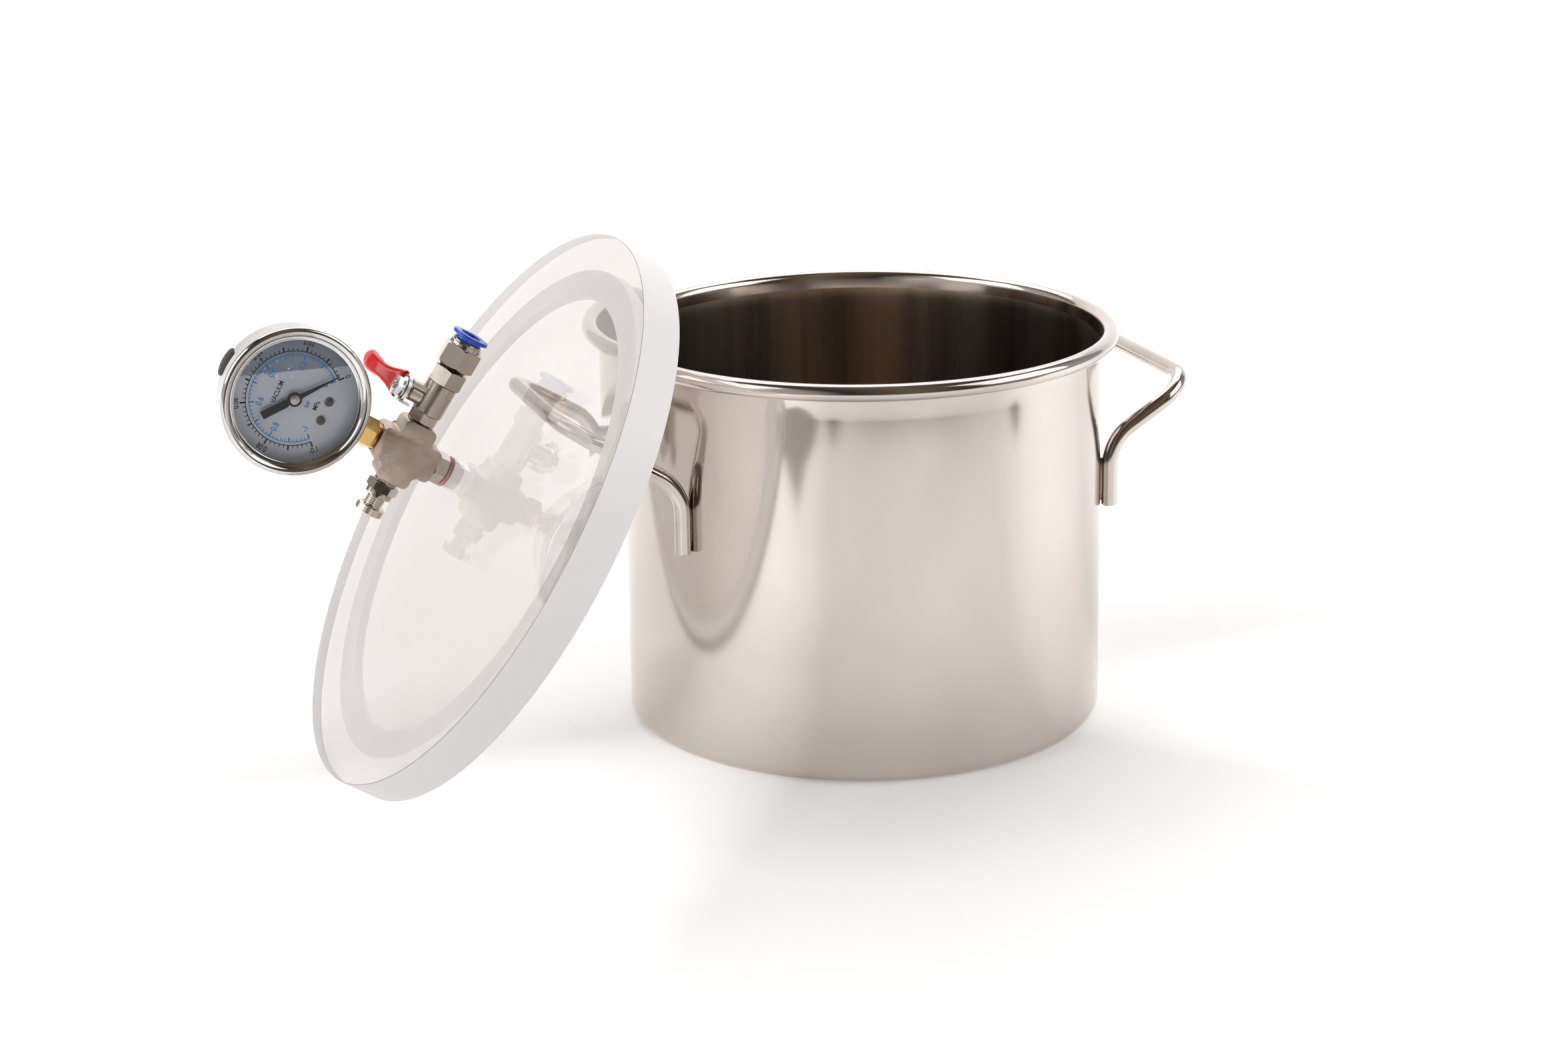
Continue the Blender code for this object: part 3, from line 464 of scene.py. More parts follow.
def nut(name, across_flats, low, high, place, degrees, ease=0.6):
    """A hexagonal prism with its corners turned off at both ends."""
    block = prism(name, hexagon(across_flats, degrees), low, high, place)
    face = across_flats / 2 - 0.15
    corner = across_flats / sqrt(3.0) + 0.3
    tool = [(0, low - 1), (face, low - 1), (face, low), (corner, low + ease)]
    tool += [(corner, high - ease), (face, high), (face, high + 1), (0, high + 1)]
    return combine(block, lathe("turned_corners", tool, place, steps=60), "INTERSECT")


def ridges(radius, depth, low, high, count):
    """Turned thread ridges with small flats on crest and root."""
    pitch = (high - low) / count
    points = []
    for k in range(count):
        start = low + k * pitch
        points += [(radius - depth, start), (radius - depth, start + pitch * 0.12)]
        points += [(radius, start + pitch * 0.45), (radius, start + pitch * 0.62)]
    points.append((radius - depth, high))
    return points


def rod_sections(path, radius, steps):
    sections = []
    side = None
    for k, point in enumerate(path):
        along = (path[min(k + 1, len(path) - 1)] - path[max(k - 1, 0)]).normalized()
        side = along.orthogonal() if side is None else side - along * side.dot(along)
        side = side.normalized()
        other = along.cross(side)
        sections.append([point + (side * cos(a) + other * sin(a)) * radius for a in turns(steps)])
    return sections


def joined(name, parts, body, look, angle=35.0):
    """One object from several meshes in place, without a Boolean."""
    bm = bmesh.new()
    for part in parts:
        bm.from_mesh(part.data)
        bpy.data.objects.remove(part)
    obj = add(name, mesh_from(name, bm))
    smooth(obj, angle)
    return dress(obj, body, look)


def fitting(name, node, parts, holes, look, rounding=0.15, segments=2, rides="lid"):
    """Unites turned and milled bodies, bores them, and rounds the edges."""
    body = parts[0]
    for other in parts[1:]:
        combine(body, other, "UNION")
    for radius, low, high, seat in holes:
        drill(body, radius, low, high, seat)
    body.name = name
    smooth(body)
    round_edges(dress(body, rides, look), rounding, segments)
    return stand_for(body, node)


# ---- pot


def pot():
    wall_in = POT_R - POT_WALL
    curl_z = POT_H - CURL_R
    low = BASE_ROUND
    profile = [(0.0, 0.0), (60.0, 0.0), (POT_R - low - 4, 0.0)]
    profile += arc((POT_R - low, low), low, -90, 0, 14)
    profile += [(POT_R, 60.0), (POT_R, 160.0), (POT_R - 0.05, 172.0)]
    profile += [(POT_R - 0.3, 181.0), (POT_R - 0.35, 186.0), (POT_R, curl_z - 4.4)]
    profile += arc((CURL_AXIS_R, curl_z), CURL_R - POT_WALL, 180, -130, 22)
    profile += arc((CURL_AXIS_R, curl_z), CURL_R, -130, 180, 34)
    profile += [(wall_in, curl_z - 4.4), (wall_in - 0.3, 186.0), (wall_in, 176.0), (wall_in, 60.0)]
    profile += arc((POT_R - low, low), low - POT_WALL, 0, -90, 12)
    profile += [(60.0, POT_WALL), (0.0, POT_WALL)]
    steel = pot_steel("polished_pot_steel", STEEL)
    shell = lathe("pot_skin", profile, WORLD, "pot", steel, 192, 50.0)
    shell.data.materials.append(inner_steel())
    base = metal("drawn_inner_base", (0.50, 0.455, 0.42), 0.20, 0.27, 500.0, 0.05, tint=0.93)
    shell.data.materials.append(base)
    for polygon in shell.data.polygons:
        centre, normal = polygon.center, polygon.normal
        inward = centre.x * normal.x + centre.y * normal.y < -0.2 * Vector(centre.xy).length
        if centre.z < (POT_H - 10) * MM and (inward or normal.z > 0.5):
            polygon.material_index = 2 if normal.z > 0.5 else 1
    stand_for(shell, "pot_shell")


def inner_steel():
    """The drawn inside: the same steel with broad upright streaks of tone, and painted shade that darkens it
    on two sides.
    """
    g = Graph("drawn_inner_steel")
    streaks = g.noise(26.0, 4.0, (1, 1, 0.03), 0.55)
    fine = g.noise(900.0, 3.0, (1, 1, 0.015), 0.6)
    warm = g.mix(g.spread(streaks, 0.0, 1.0, 0.35, 0.65), (0.34, 0.27, 0.21), (0.95, 0.74, 0.56))
    tone = g.mix(g.spread(g.noise(60.0, 2.0, (1, 1, 0.05)), 0.0, 0.4), warm, (0.42, 0.36, 0.31))
    # Painted shade: the colour darkens away from an upright plane, on both sides of the inside wall.
    painted_shade_reach = g.work_out("ABSOLUTE", g.along((0.945, -0.328, 0.0)))
    tone = g.mix(g.spread(painted_shade_reach, 0.0, 0.72, 0.035, 0.085), tone, (0.155, 0.150, 0.150))
    normal = g.bump(fine, 0.10, 0.0001)
    return g.set(Base_Color=tone, Metallic=1.0, Roughness=g.spread(streaks, 0.22, 0.34), Normal=normal)


def handle(name, node, side, steel, weld):
    corners = []
    for y, order in ((-LEG_Y, 1), (LEG_Y, -1)):
        leg = [Vector((side * LEG_X, y, LEG_FOOT_Z))]
        leg.append(Vector((side * LEG_X, y, BEND_Z)))
        leg.append(Vector((side * GRIP_X, y, GRIP_Z)))
        corners += leg[::order]
    radii = [BEND_ROUND, CORNER_ROUND, CORNER_ROUND, BEND_ROUND]
    path = [corners[0]]
    for k in range(1, len(corners) - 1):
        before = (corners[k - 1] - corners[k]).normalized()
        after = (corners[k + 1] - corners[k]).normalized()
        path += fillet(corners[k], before, after, radii[k - 1], 16)
    path.append(corners[-1])
    for end, step in ((0, 1), (-1, -1)):
        inward = (path[step if end == 0 else -2] - path[end]).normalized()
        path.insert(1 if end == 0 else -1, path[end] + inward * 0.5)
    sections = rod_sections(path, ROD_R - 0.08, 36)
    for end in (0, -1):
        middle = sum(sections[end], Vector()) / len(sections[end])
        sections[end] = [middle + (point - middle) * 0.88 for point in sections[end]]
    rod = loft(name, sections, WORLD, "pot", steel)
    stand_for(rod, node)
    beads = [weld_bead(side, y) for y in (-LEG_Y, LEG_Y)]
    joined(name + "_welds", beads, "pot", weld, 80.0)


def weld_bead(side, y):
    """A thin run of weld between a leg and the wall."""
    out = Vector((LEG_X, abs(y), 0)).normalized()
    touch = out * (POT_R + 0.25)
    path, radii = [], []
    for k in range(17):
        share = k / 16
        path.append(Vector((side * touch.x, copysign(touch.y, y), 110.0 + 22.0 * share)))
        radii.append(1.5 * sqrt(max(0.04, 1 - (2 * share - 1) ** 4)) + 0.12 * sin(k * 2.4))
    sections = rod_sections(path, 1.0, 12)
    for middle, radius, section in zip(path, radii, sections):
        section[:] = [middle + (point - middle) * radius for point in section]
    return loft("bead", sections, WORLD)


def handles():
    steel = metal("bent_rod_steel", STEEL, 0.10, 0.18, 900.0, 0.04)
    weld = metal("weld_heat_tint", (0.42, 0.29, 0.20), 0.30, 0.45, 1200.0, 0.5)
    handle("handle_rod_right", "handle_right", 1, steel, weld)
    handle("handle_rod_left", "handle_left", -1, steel, weld)


# ---- lid


def lid():
    """Two materials on one disc: polished faces and a frosted turned edge."""
    outside = LID_R - 0.12
    edge = outside - LID_EDGE
    profile = [(0, 0), (HOLE_R, 0), (60, 0), (120, 0), (edge, 0)]
    profile += arc((edge, -LID_EDGE), LID_EDGE, 80, 10, 3)
    profile += [(outside, -LID_EDGE), (outside, -LID_T / 2), (outside, -LID_T + LID_EDGE)]
    profile += arc((edge, -LID_T + LID_EDGE), LID_EDGE, -10, -80, 3)
    profile += [(edge, -LID_T), (120, -LID_T), (60, -LID_T), (0, -LID_T)]
    disc = lathe("lid_panel", profile, LID, steps=240)
    drill(disc, HOLE_R, -LID_T - 2, 2, HOLE)
    smooth(disc, 30.0)
    face = clear("acrylic_face", (0.795, 0.768, 0.752), 0.0, 0.88, 1.49, 0.02)
    rim = clear("acrylic_turned_edge", (0.30, 0.288, 0.29), 0.42, 0.20, 1.49, 0.1, 0.25)
    # Painted glow on the turned edge, stronger higher up.
    glow(rim, (1.0, 0.965, 0.965), 0.25, 0.56)
    bore = clear("acrylic_drilled_bore", (0.90, 0.87, 0.87), 0.5, 0.05, 1.49, 0.1, 0.3)
    # Painted glow inside the drilled bore.
    glow(bore, (1.0, 0.97, 0.97), 0.30)
    disc.data.materials.clear()
    for look in (face, rim, bore):
        disc.data.materials.append(look)
    normal = (LID.to_3x3() @ Vector((0, 0, 1))).normalized()
    middle = HOLE.translation * MM
    for polygon in disc.data.polygons:
        away = polygon.center - middle
        near = (away - normal * away.dot(normal)).length < (HOLE_R + 1) * MM
        flat = abs(polygon.normal.dot(normal)) > 0.9
        polygon.material_index = 0 if flat else 2 if near else 1
    stand_for(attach(disc, "lid"), "lid_disc")


def glow(look, colour, low, high=None):
    """Painted light: an emission that makes frosted plastic glow though it is no lamp, even or stronger
    higher up.
    """
    g = Graph(look.name, look)
    # The painted glow grows with height, so the upper part looks more lit.
    strength = low if high is None else g.spread(g.along((0.0, 0.0, 1.0)), low, high, 0.0, 0.2)
    return g.set(Emission_Color=colour, Emission_Strength=strength)


def gasket():
    top = -LID_T - GAP
    low = top - GASKET_T
    profile = arc((GASKET_IN + 0.5, top - 0.5), 0.5, 180, 90, 3) + [(122, top)]
    profile += arc((GASKET_OUT - 0.5, top - 0.5), 0.5, 90, 0, 3)
    profile += arc((GASKET_OUT - 0.4, low + 0.4), 0.4, 0, -90, 3)
    profile += [(GASKET_OUT - 0.8, low), (GASKET_OUT - 2.2, low + 1.1), (121.2, low + 1.1), (119.6, low)]
    profile += arc((GASKET_IN + 0.5, low + 0.5), 0.5, 270, 180, 3)
    silicone = clear("translucent_silicone", (0.95, 0.95, 0.955), 0.28, 0.45, 1.41, 0.1, 0.15)
    # Painted glow in the silicone ring, which is no lamp.
    glow(silicone, (1.0, 0.97, 0.97), 0.12)
    ring = lathe("gasket_ring", profile, LID, "lid", silicone, 200)
    stand_for(ring, "lid_gasket")


def nipple():
    nickel = metal("nickel_nipple", NICKEL, 0.10, 0.2)
    body = nut("nipple_hex", 14.0, 2.5, 8.6, FIT, 20.0)
    low = [(0, -16.0), (5.6, -16.0)] + ridges(THREAD_R, 0.6, -15.2, 2.0, 13) + [(6.0, 3.2), (0, 3.2)]
    high = [(0, 8.0), (5.9, 8.0), (5.9, 9.4), (THREAD_R, 9.8), (THREAD_R, 16.2), (0, 16.6)]
    parts = [body, lathe("thread", low, FIT), lathe("thread", high, FIT)]
    fitting("nipple_hex", "lid_nipple", parts, [(3.6, -18.0, 19.0, FIT)], nickel, 0.12)
    profile = [(6.7, GAP), (7.7, GAP)] + arc((7.4, GAP + 0.5), 0.5, -60, 0, 3)
    profile += arc((7.4, 1.7), 0.5, 0, 90, 4) + [(6.7, 2.2)]
    pink = clear("pink_seal", (0.90, 0.52, 0.57), 0.25, 0.45, 1.47, 0.1)
    stand_for(lathe("seal_washer", profile, FIT, "lid", pink, 72), "nipple_washer")


# ---- cross


def cross():
    arm, reach = CROSS_ARM, CROSS_REACH
    corners = []
    for turn in range(4):
        angle = pi / 2 * turn
        cosine, sine = cos(angle), sin(angle)
        quarter = [(reach, -arm), (reach, arm), (arm, arm)]
        corners += [(x * cosine - y * sine, x * sine + y * cosine) for x, y in quarter]
    outline = rounded(corners, [2.6, 2.6, 1.4], 7)
    lying = CROSS @ at((0, 0, 0), (1, 0, 0), (0, -1, 0))
    block = prism("cross_block", outline, -CROSS_DEPTH, CROSS_DEPTH, lying, chamfer=0.55, rounds=3)
    for axis, way in (((1, 0, 0), 3.9), ((0, 0, 1), 3.6)):
        half = [(way, 6.2), (5.6, 7.0), (PORT_R, 7.0), (PORT_R, CROSS_REACH - 0.6)]
        half += [(PORT_R + 1.6, CROSS_REACH + 1.0), (0, CROSS_REACH + 1.0)]
        other = [(radius, -height) for radius, height in half[::-1]]
        tool = lathe("ports", half + other, CROSS @ at((0, 0, 0), (0, 1, 0), axis))
        combine(block, tool, "DIFFERENCE")
    smooth(block)
    dress(block, "lid", cast("cast_nickel_cross", (0.55, 0.46, 0.38)))
    stand_for(block, "cross_fitting")


# ---- gauge


def gauge_shell():
    steel = metal("gauge_stainless", (0.56, 0.54, 0.52), 0.16, 0.26, 900.0, 0.06)
    inner = CASE_R - CASE_WALL
    hub = (CASE_R - CASE_ROUND, CASE_BACK + CASE_ROUND)
    flange = WINDOW_R + 0.1
    profile = [(0, CASE_BACK), (20, CASE_BACK)] + arc(hub, CASE_ROUND, -90, 0, 14)
    profile += [(CASE_R, 14.2), (flange, 14.5), (flange, 15.6), (inner, 15.6)]
    profile += arc(hub, CASE_ROUND - CASE_WALL, 0, -90, 10)
    profile += [(20, CASE_BACK + CASE_WALL), (0, CASE_BACK + CASE_WALL)]
    case = lathe("case_cup", profile, GAUGE, steps=128)
    drill(case, 5.35, 20.0, 45.0, SOCKET)
    drill(case, 5.4, 20.0, 45.0, FILL)
    smooth(case)
    stand_for(dress(case, "lid", steel), "gauge_case")
    chrome = metal("bezel_chrome", (0.62, 0.61, 0.60), 0.07, 0.13, 900.0, 0.03)
    edge, inside = BEZEL_R - 0.09, WINDOW_R + 0.5
    ring = [(inside - 1.0, 12.9), (edge - 0.3, 12.9), (edge, 13.2), (edge, 18.9)]
    ring += arc((edge - 2.0, 19.9), 2.0, 0, 100, 14)
    ring += [(edge - 2.8, 21.75), (edge - 3.7, 21.2), (edge - 4.3, 20.6), (edge - 4.45, 20.35)]
    ring += [(SIGHT_R + 0.3, 20.25), (SIGHT_R, 20.0), (SIGHT_R, 19.3), (inside, 19.3), (inside, 14.2)]
    ring += [(inside - 1.0, 14.2)]
    stand_for(lathe("bezel_ring", ring, GAUGE, "lid", chrome, 144, 40.0), "gauge_bezel")
    glass = metal("gauge_window", (0.93, 0.95, 1.0), 0.015, 0.03, 300.0, 0.0)
    tune(glass, "Alpha", 0.014)
    pane = [(0, WINDOW_LOW), (WINDOW_R - 0.2, WINDOW_LOW), (WINDOW_R, WINDOW_LOW + 0.2)]
    pane += [(WINDOW_R, WINDOW_HIGH - 0.2), (WINDOW_R - 0.2, WINDOW_HIGH), (0, WINDOW_HIGH)]
    stand_for(lathe("window_pane", pane, GAUGE, "lid", glass, 128), "gauge_window")
    rubber = plastic("black_rubber", (0.02, 0.02, 0.022), 0.45, 0.6)
    wall_in, wall_out = CASE_R - CASE_WALL - 0.5, CASE_R + 0.75
    plug = [(0, wall_in - 2.4), (4.6, wall_in - 2.4), (5.0, wall_in - 1.4), (5.0, wall_out), (7.3, wall_out)]
    plug += arc((6.9, wall_out + 0.4), 0.4, 0, 70, 3)
    plug += [(5.6, wall_out + 1.25), (3.0, wall_out + 1.55), (0, wall_out + 1.6)]
    stand_for(lathe("fill_plug_cap", plug, FILL, "lid", rubber, 64), "gauge_fill_plug")


def dial_paint():
    """White enamel; the liquid inside lightens what lies below its level."""
    g = Graph("dial_enamel")
    level = (GAUGE.translation.z + 13.4) * MM
    wavy = g.work_out("MULTIPLY_ADD", g.noise(120.0, 2.0), 0.0012, g.along((0.0, 0.0, 1.0)))
    above = g.spread(wavy, 0.0, 1.0, level + 0.0004, level + 0.0010)
    wet = g.mix(g.spread(g.noise(30.0), 0.0, 1.0), (0.52, 0.56, 0.64), (0.45, 0.49, 0.58))
    dry = g.mix(g.spread(g.noise(60.0), 0.0, 1.0), (0.22, 0.26, 0.33), (0.15, 0.18, 0.25))
    tone = g.mix(above, wet, dry)
    return g.set(Base_Color=tone, Roughness=g.spread(g.noise(200.0), 0.25, 0.4))


def dial_ticks(name, marks, look):
    """Thin printed bars, as one mesh of shallow boxes."""
    bm = bmesh.new()
    for angle, inner, outer, width in marks:
        out = Vector((cos(angle), sin(angle), 0))
        side = Vector((-out.y, out.x, 0)) * (width / 2)
        base = [out * inner - side, out * outer - side, out * outer + side, out * inner + side]
        low = [bm.verts.new(p + Vector((0, 0, PRINT_LOW))) for p in base]
        top = [bm.verts.new(p + Vector((0, 0, PRINT_HIGH))) for p in base]
        bridge(bm, low, top)
        bm.faces.new(low[::-1])
        bm.faces.new(top)
    return finish(name, bm, DIAL, "lid", look)


def ring_line(name, radius, width, look):
    """A printed arc of even width, a touch longer than the scale."""
    start, end, count = -45.2, 225.2, 90
    outer = arc((0, 0), radius + width / 2, start, end, count)
    inner = arc((0, 0), radius - width / 2, end, start, count)
    return prism(name, outer + inner, PRINT_LOW, PRINT_HIGH, DIAL, "lid", look)


def lettering(name, entries, look):
    """Numbers and units as condensed, slightly raised print."""
    parts = []
    for text, x, y, size, turn in entries:
        curve = bpy.data.curves.new("print", "FONT")
        curve.body = text
        curve.size = size
        curve.align_x = "CENTER"
        curve.align_y = "CENTER"
        curve.extrude = 0.02
        curve.offset = 0.045
        curve.resolution_u = 4
        made = add("print", curve)
        mesh = worked_out(made)
        bpy.data.objects.remove(made)
        spot = DIAL @ Matrix.Translation((x, y, DIAL_Z + 0.03)) @ Matrix.Rotation(turn, 4, "Z")
        spot = spot @ Matrix.Diagonal((0.78, 1, 1, 1))
        mesh.transform(Matrix.Scale(MM, 4) @ spot)
        parts.append(add("print", mesh))
    return joined(name, parts, "lid", look)


def dial():
    ink = plastic("black_print", (0.006, 0.006, 0.007), 0.4, 0.55)
    blue = plastic("blue_print", (0.006, 0.22, 0.60), 0.4, 0.55)
    for look in (ink, blue):
        tune(look, "Specular IOR Level", 0.1)
    black_marks, blue_marks = [], []
    for k in range(SCALE_STEPS + 1):
        angle = SCALE_START + SCALE_SWEEP * k / SCALE_STEPS
        big, middle = k % 10 == 0, k % 5 == 0
        far = 26.0 if big else 25.6 if middle else 24.8
        near = 19.0 if big else 19.5 if middle else 20.3
        black_marks.append((angle, OUTER_SCALE_R, far, 0.8 if middle else 0.42))
        blue_marks.append((angle, near, INNER_SCALE_R, 0.7 if middle else 0.36))
    dress(frame["nodes"]["gauge_dial"], None, dial_paint())
    dial_ticks("outer_marks", black_marks, ink)
    dial_ticks("inner_marks", blue_marks, blue)
    ring_line("outer_scale_line", OUTER_SCALE_R, 0.42, ink)
    ring_line("inner_scale_line", INNER_SCALE_R, 0.36, blue)
    outer, inner = ("0", "0.02", "0.04", "0.06", "0.08", "-0.1"), ("0", "0.2", "0.4", "0.6", "0.8", "-1")
    words = [("VACUUM", 0, 8.6, 3.5, 0), ("MPa", 0.8, -11.7, 3.6, 0)]
    black = around(outer, 27.9, 4.1, True) + words
    coloured = around(inner, 16.3, 4.5, False) + [("bar", 0, -7.2, 3.5, 0)]
    lettering("outer_numbers", black, ink)
    lettering("inner_numbers", coloured, blue)


def around(entries, radius, size, turned):
    """Labels beside their marks: turned ones follow the scale, and its last is the other way up."""
    placed = []
    for text, step in zip(entries, range(0, SCALE_STEPS + 1, 10)):
        angle = SCALE_START + SCALE_SWEEP * step / SCALE_STEPS
        turn = angle - pi / 2 if turned else 0.0
        if turned and step == SCALE_STEPS:
            turn += pi
        placed.append((text, radius * cos(angle), radius * sin(angle), size, turn))
    return placed


# ---- fittings


def socket():
    near, far = GAUGE_Z - 51.3, GAUGE_Z - 43.4
    start, end = GAUGE_Z - CROSS_Z - CROSS_REACH + 0.2, GAUGE_Z - 33.6
    hexagonal = nut("socket_hex", 14.0, near, far, SOCKET, 12.0)
    thread = [(0, far - 0.6), (5.8, far - 0.6)] + ridges(THREAD_R, 0.6, start - 2.1, start + 0.6, 3)
    screw = lathe("thread", thread + [(5.9, end), (5.5, end + 0.4), (0, end + 0.4)], SOCKET)
    neck = lathe("neck", [(0, 29.5), (5.0, 29.5), (5.0, near + 0.6), (0, near + 0.6)], SOCKET)
    block = rounded([(-6.6, -3.8), (6.6, -3.8), (6.6, 2.9), (-6.6, 2.9)], [0.8], 3)
    tube_block = prism("block", block, 18.6, 30.6, SOCKET)
    brass = metal("turned_brass", BRASS, 0.16, 0.30, 700.0, 0.12)
    parts = [hexagonal, screw, neck, tube_block]
    fitting("socket_stem", "gauge_socket", parts, [(1.6, 24.0, end + 2, SOCKET)], brass, 0.12)


def valve():
    nickel = metal("satin_nickel_body", NICKEL, 0.20, 0.32, 800.0, 0.10)
    bright = metal("bright_nickel_hex", NICKEL, 0.08, 0.16, 800.0, 0.03)
    hexagonal = nut("body_hex", 14.0, 17.0, 22.6, VALVE, 8.0)
    thread = [(0, 8.0), (5.7, 8.0), (THREAD_R, 8.8), (THREAD_R, 15.4)] + ridges(THREAD_R, 0.5, 15.4, 16.9, 1)
    screw = lathe("thread", thread + [(5.9, 17.6), (0, 17.6)], VALVE)
    barrel = lathe("barrel", [(0, 21.6), (7.3, 21.6), (7.9, 22.3), (7.9, 38.0), (0, 38.0)], VALVE)
    boss = lathe("boss", [(0, 5.0), (4.1, 5.0), (4.1, 12.6), (3.7, 13.0), (0, 13.0)], STEM)
    lug = rounded([(-4.2, -6.4), (4.2, -6.4), (4.2, -3.5), (-4.2, -3.5)], [0.6], 4)
    stop = prism("stop", lug, 5.5, 14.3, STEM)
    holes = [(WATERWAY_R, 6.0, 24.0, VALVE), (6.0, 21.5, 40.0, VALVE), (STEM_BORE_R, 2.0, 15.0, STEM)]
    fitting("valve_barrel", "valve_body", [hexagonal, screw, barrel, boss, stop], holes, nickel)
    cap = nut("cap_hex", 16.4, 38.3, 46.8, VALVE, 18.0)
    spigot = lathe("spigot", [(0, 33.5), (5.3, 33.5), (5.65, 33.9), (5.65, 39.2), (0, 39.2)], VALVE)
    holes = [(WATERWAY_R, 32.0, 40.5, VALVE), (5.1, 39.6, 48.0, VALVE)]
    fitting("valve_cap", "valve_end_cap", [cap, spigot], holes, bright)


def outlet():
    bright = metal("bright_nickel_outlet", NICKEL, 0.06, 0.13, 800.0, 0.02)
    hexagonal = nut("outlet_hex", 18.0, 48.3, 59.6, VALVE, 22.0, 1.2)
    thread = lathe("thread", [(0, 40.6), (4.3, 40.6), (4.75, 41.1), (4.75, 49.0), (0, 49.0)], VALVE)
    collar = [(0, 58.6), (8.3, 58.6), (8.3, 60.7)] + arc((7.8, 60.9), 0.5, 0, 70, 3)
    collar += [(7.9, 61.5), (7.9, 62.0), (7.6, 62.5), (0, 62.5)]
    turned = lathe("collar", collar, VALVE)
    holes = [(2.9, 39.0, 52.0, VALVE), (7.2, 49.8, 64.0, VALVE)]
    fitting("outlet_body", "pushfit_body", [hexagonal, thread, turned], holes, bright)
    profile = [(5.15, 56.0), (6.2, 56.0), (6.8, 57.0), (6.8, 64.0)] + arc((7.1, 64.0), 0.3, 180, 90, 3)
    profile += arc((9.0, 64.6), 0.3, -90, 0, 3) + arc((8.9, 65.8), 0.4, 0, 90, 4)
    profile += [(6.2, 66.2)] + arc((6.2, 65.2), 1.0, 100, 175, 4)
    blue = plastic("blue_acetal", (0.012, 0.10, 0.72), 0.22, 0.34, 0.2)
    stand_for(lathe("collet_ring", profile, VALVE, "release_collet", blue, 96), "pushfit_collet")
    rubber = plastic("seal_rubber", (0.018, 0.018, 0.02), 0.35, 0.5)
    ring = arc((6.15, 47.55), 0.45, 0, 360, 16)[:-1]
    grown = [(6.15 + (r - 6.15) * 2.0, z) for r, z in ring]
    stand_for(lathe("thread_seal", grown, VALVE, "lid", rubber, 64), "pushfit_thread_ring")


def bleed():
    bright = metal("bleed_nickel", NICKEL, 0.08, 0.18, 800.0, 0.04)
    hexagonal = nut("bleed_hex", 14.0, 18.5, 23.2, BLEED, 16.0)
    thread = [(0, 8.2), (5.8, 8.2), (5.8, 13.8)] + ridges(THREAD_R, 0.6, 13.8, 18.2, 4)
    screw = lathe("thread", thread + [(6.0, 18.9), (0, 18.9)], BLEED)
    collar = [(0, 22.6), (6.7, 22.6), (6.95, 23.3), (6.95, 25.6), (6.6, 26.0), (0, 26.0)]
    turned = lathe("collar", collar, BLEED)
    holes = [(1.8, 7.0, 16.0, BLEED), (5.3, 14.6, 27.0, BLEED)]
    fitting("bleed_collar", "bleed_body", [hexagonal, screw, turned], holes, bright)
    knob()


def knob():
    """A straight-knurled head on a threaded stem."""
    teeth, count = [], 40
    for k in range(count):
        for share, reach in ((0.0, 6.95), (0.18, 6.95), (0.38, 7.35), (0.80, 7.35)):
            angle = 2 * pi * (k + share) / count
            teeth.append((reach * cos(angle), reach * sin(angle)))
    head = prism("knob_head", teeth, 31.6, 35.8, BLEED)
    ends = [(0, 31.0), (6.5, 31.0), (6.5, 31.6), (7.5, 32.2)]
    ends += [(7.5, 35.2), (6.5, 35.8), (6.5, 36.5), (0, 36.5)]
    combine(head, lathe("eased", ends, BLEED, steps=120), "INTERSECT")
    stem = [(0, 17.3), (4.4, 17.3), (4.4, 23.0)] + ridges(4.95, 0.55, 23.0, 31.0, 8)
    combine(head, lathe("stem", stem + [(4.4, 32.2), (0, 32.2)], BLEED), "UNION")
    beside = BLEED @ Matrix.Rotation(2.4, 4, "Z")
    flat = prism("flat", [(3.9, -6), (9, -6), (9, 6), (3.9, 6)], 16.0, 30.9, beside)
    combine(head, flat, "DIFFERENCE")
    head.name = "bleed_knob_head"
    smooth(head, 28.0)
    dress(head, "bleed_knob", metal("knurled_nickel", (0.72, 0.66, 0.58), 0.10, 0.2, 900.0, 0.04))
    stand_for(head, "bleed_screw")


# ---- lever


def lever_run():
    """The lever's run: how far out, how high, and half its width."""
    keys = [(7.4, 16.3, 6.1), (8.9, 16.9, 5.75), (11.0, 18.2, 5.0), (14.5, 21.2, 3.4), (18.5, 24.2, 2.6)]
    keys += [(23.0, 26.4, 3.1), (28.0, 27.6, 3.6), (32.5, 28.1, 3.6)]
    return keys + [(LEVER_REACH - 3.2, 28.3, 2.7), (LEVER_REACH - 1.9, 28.4, 1.5)]


def even(keys, count):
    """Points spaced along a smooth curve through the keys."""
    points = []
    spans = len(keys) - 1
    for k in range(count):
        spot = spans * k / (count - 1)
        i = min(int(spot), spans - 1)
        t = spot - i
        row = [Vector(keys[min(max(i + d, 0), spans)]) for d in (-1, 0, 1, 2)]
        a = row[1] * 2 + (row[2] - row[0]) * t
        b = (row[0] * 2 - row[1] * 5 + row[2] * 4 - row[3]) * t * t
        c = (row[1] * 3 - row[0] - row[2] * 3 + row[3]) * t * t * t
        points.append((a + b + c) / 2)
    return points


def squarer(value, power):
    return copysign(abs(value) ** power, value)


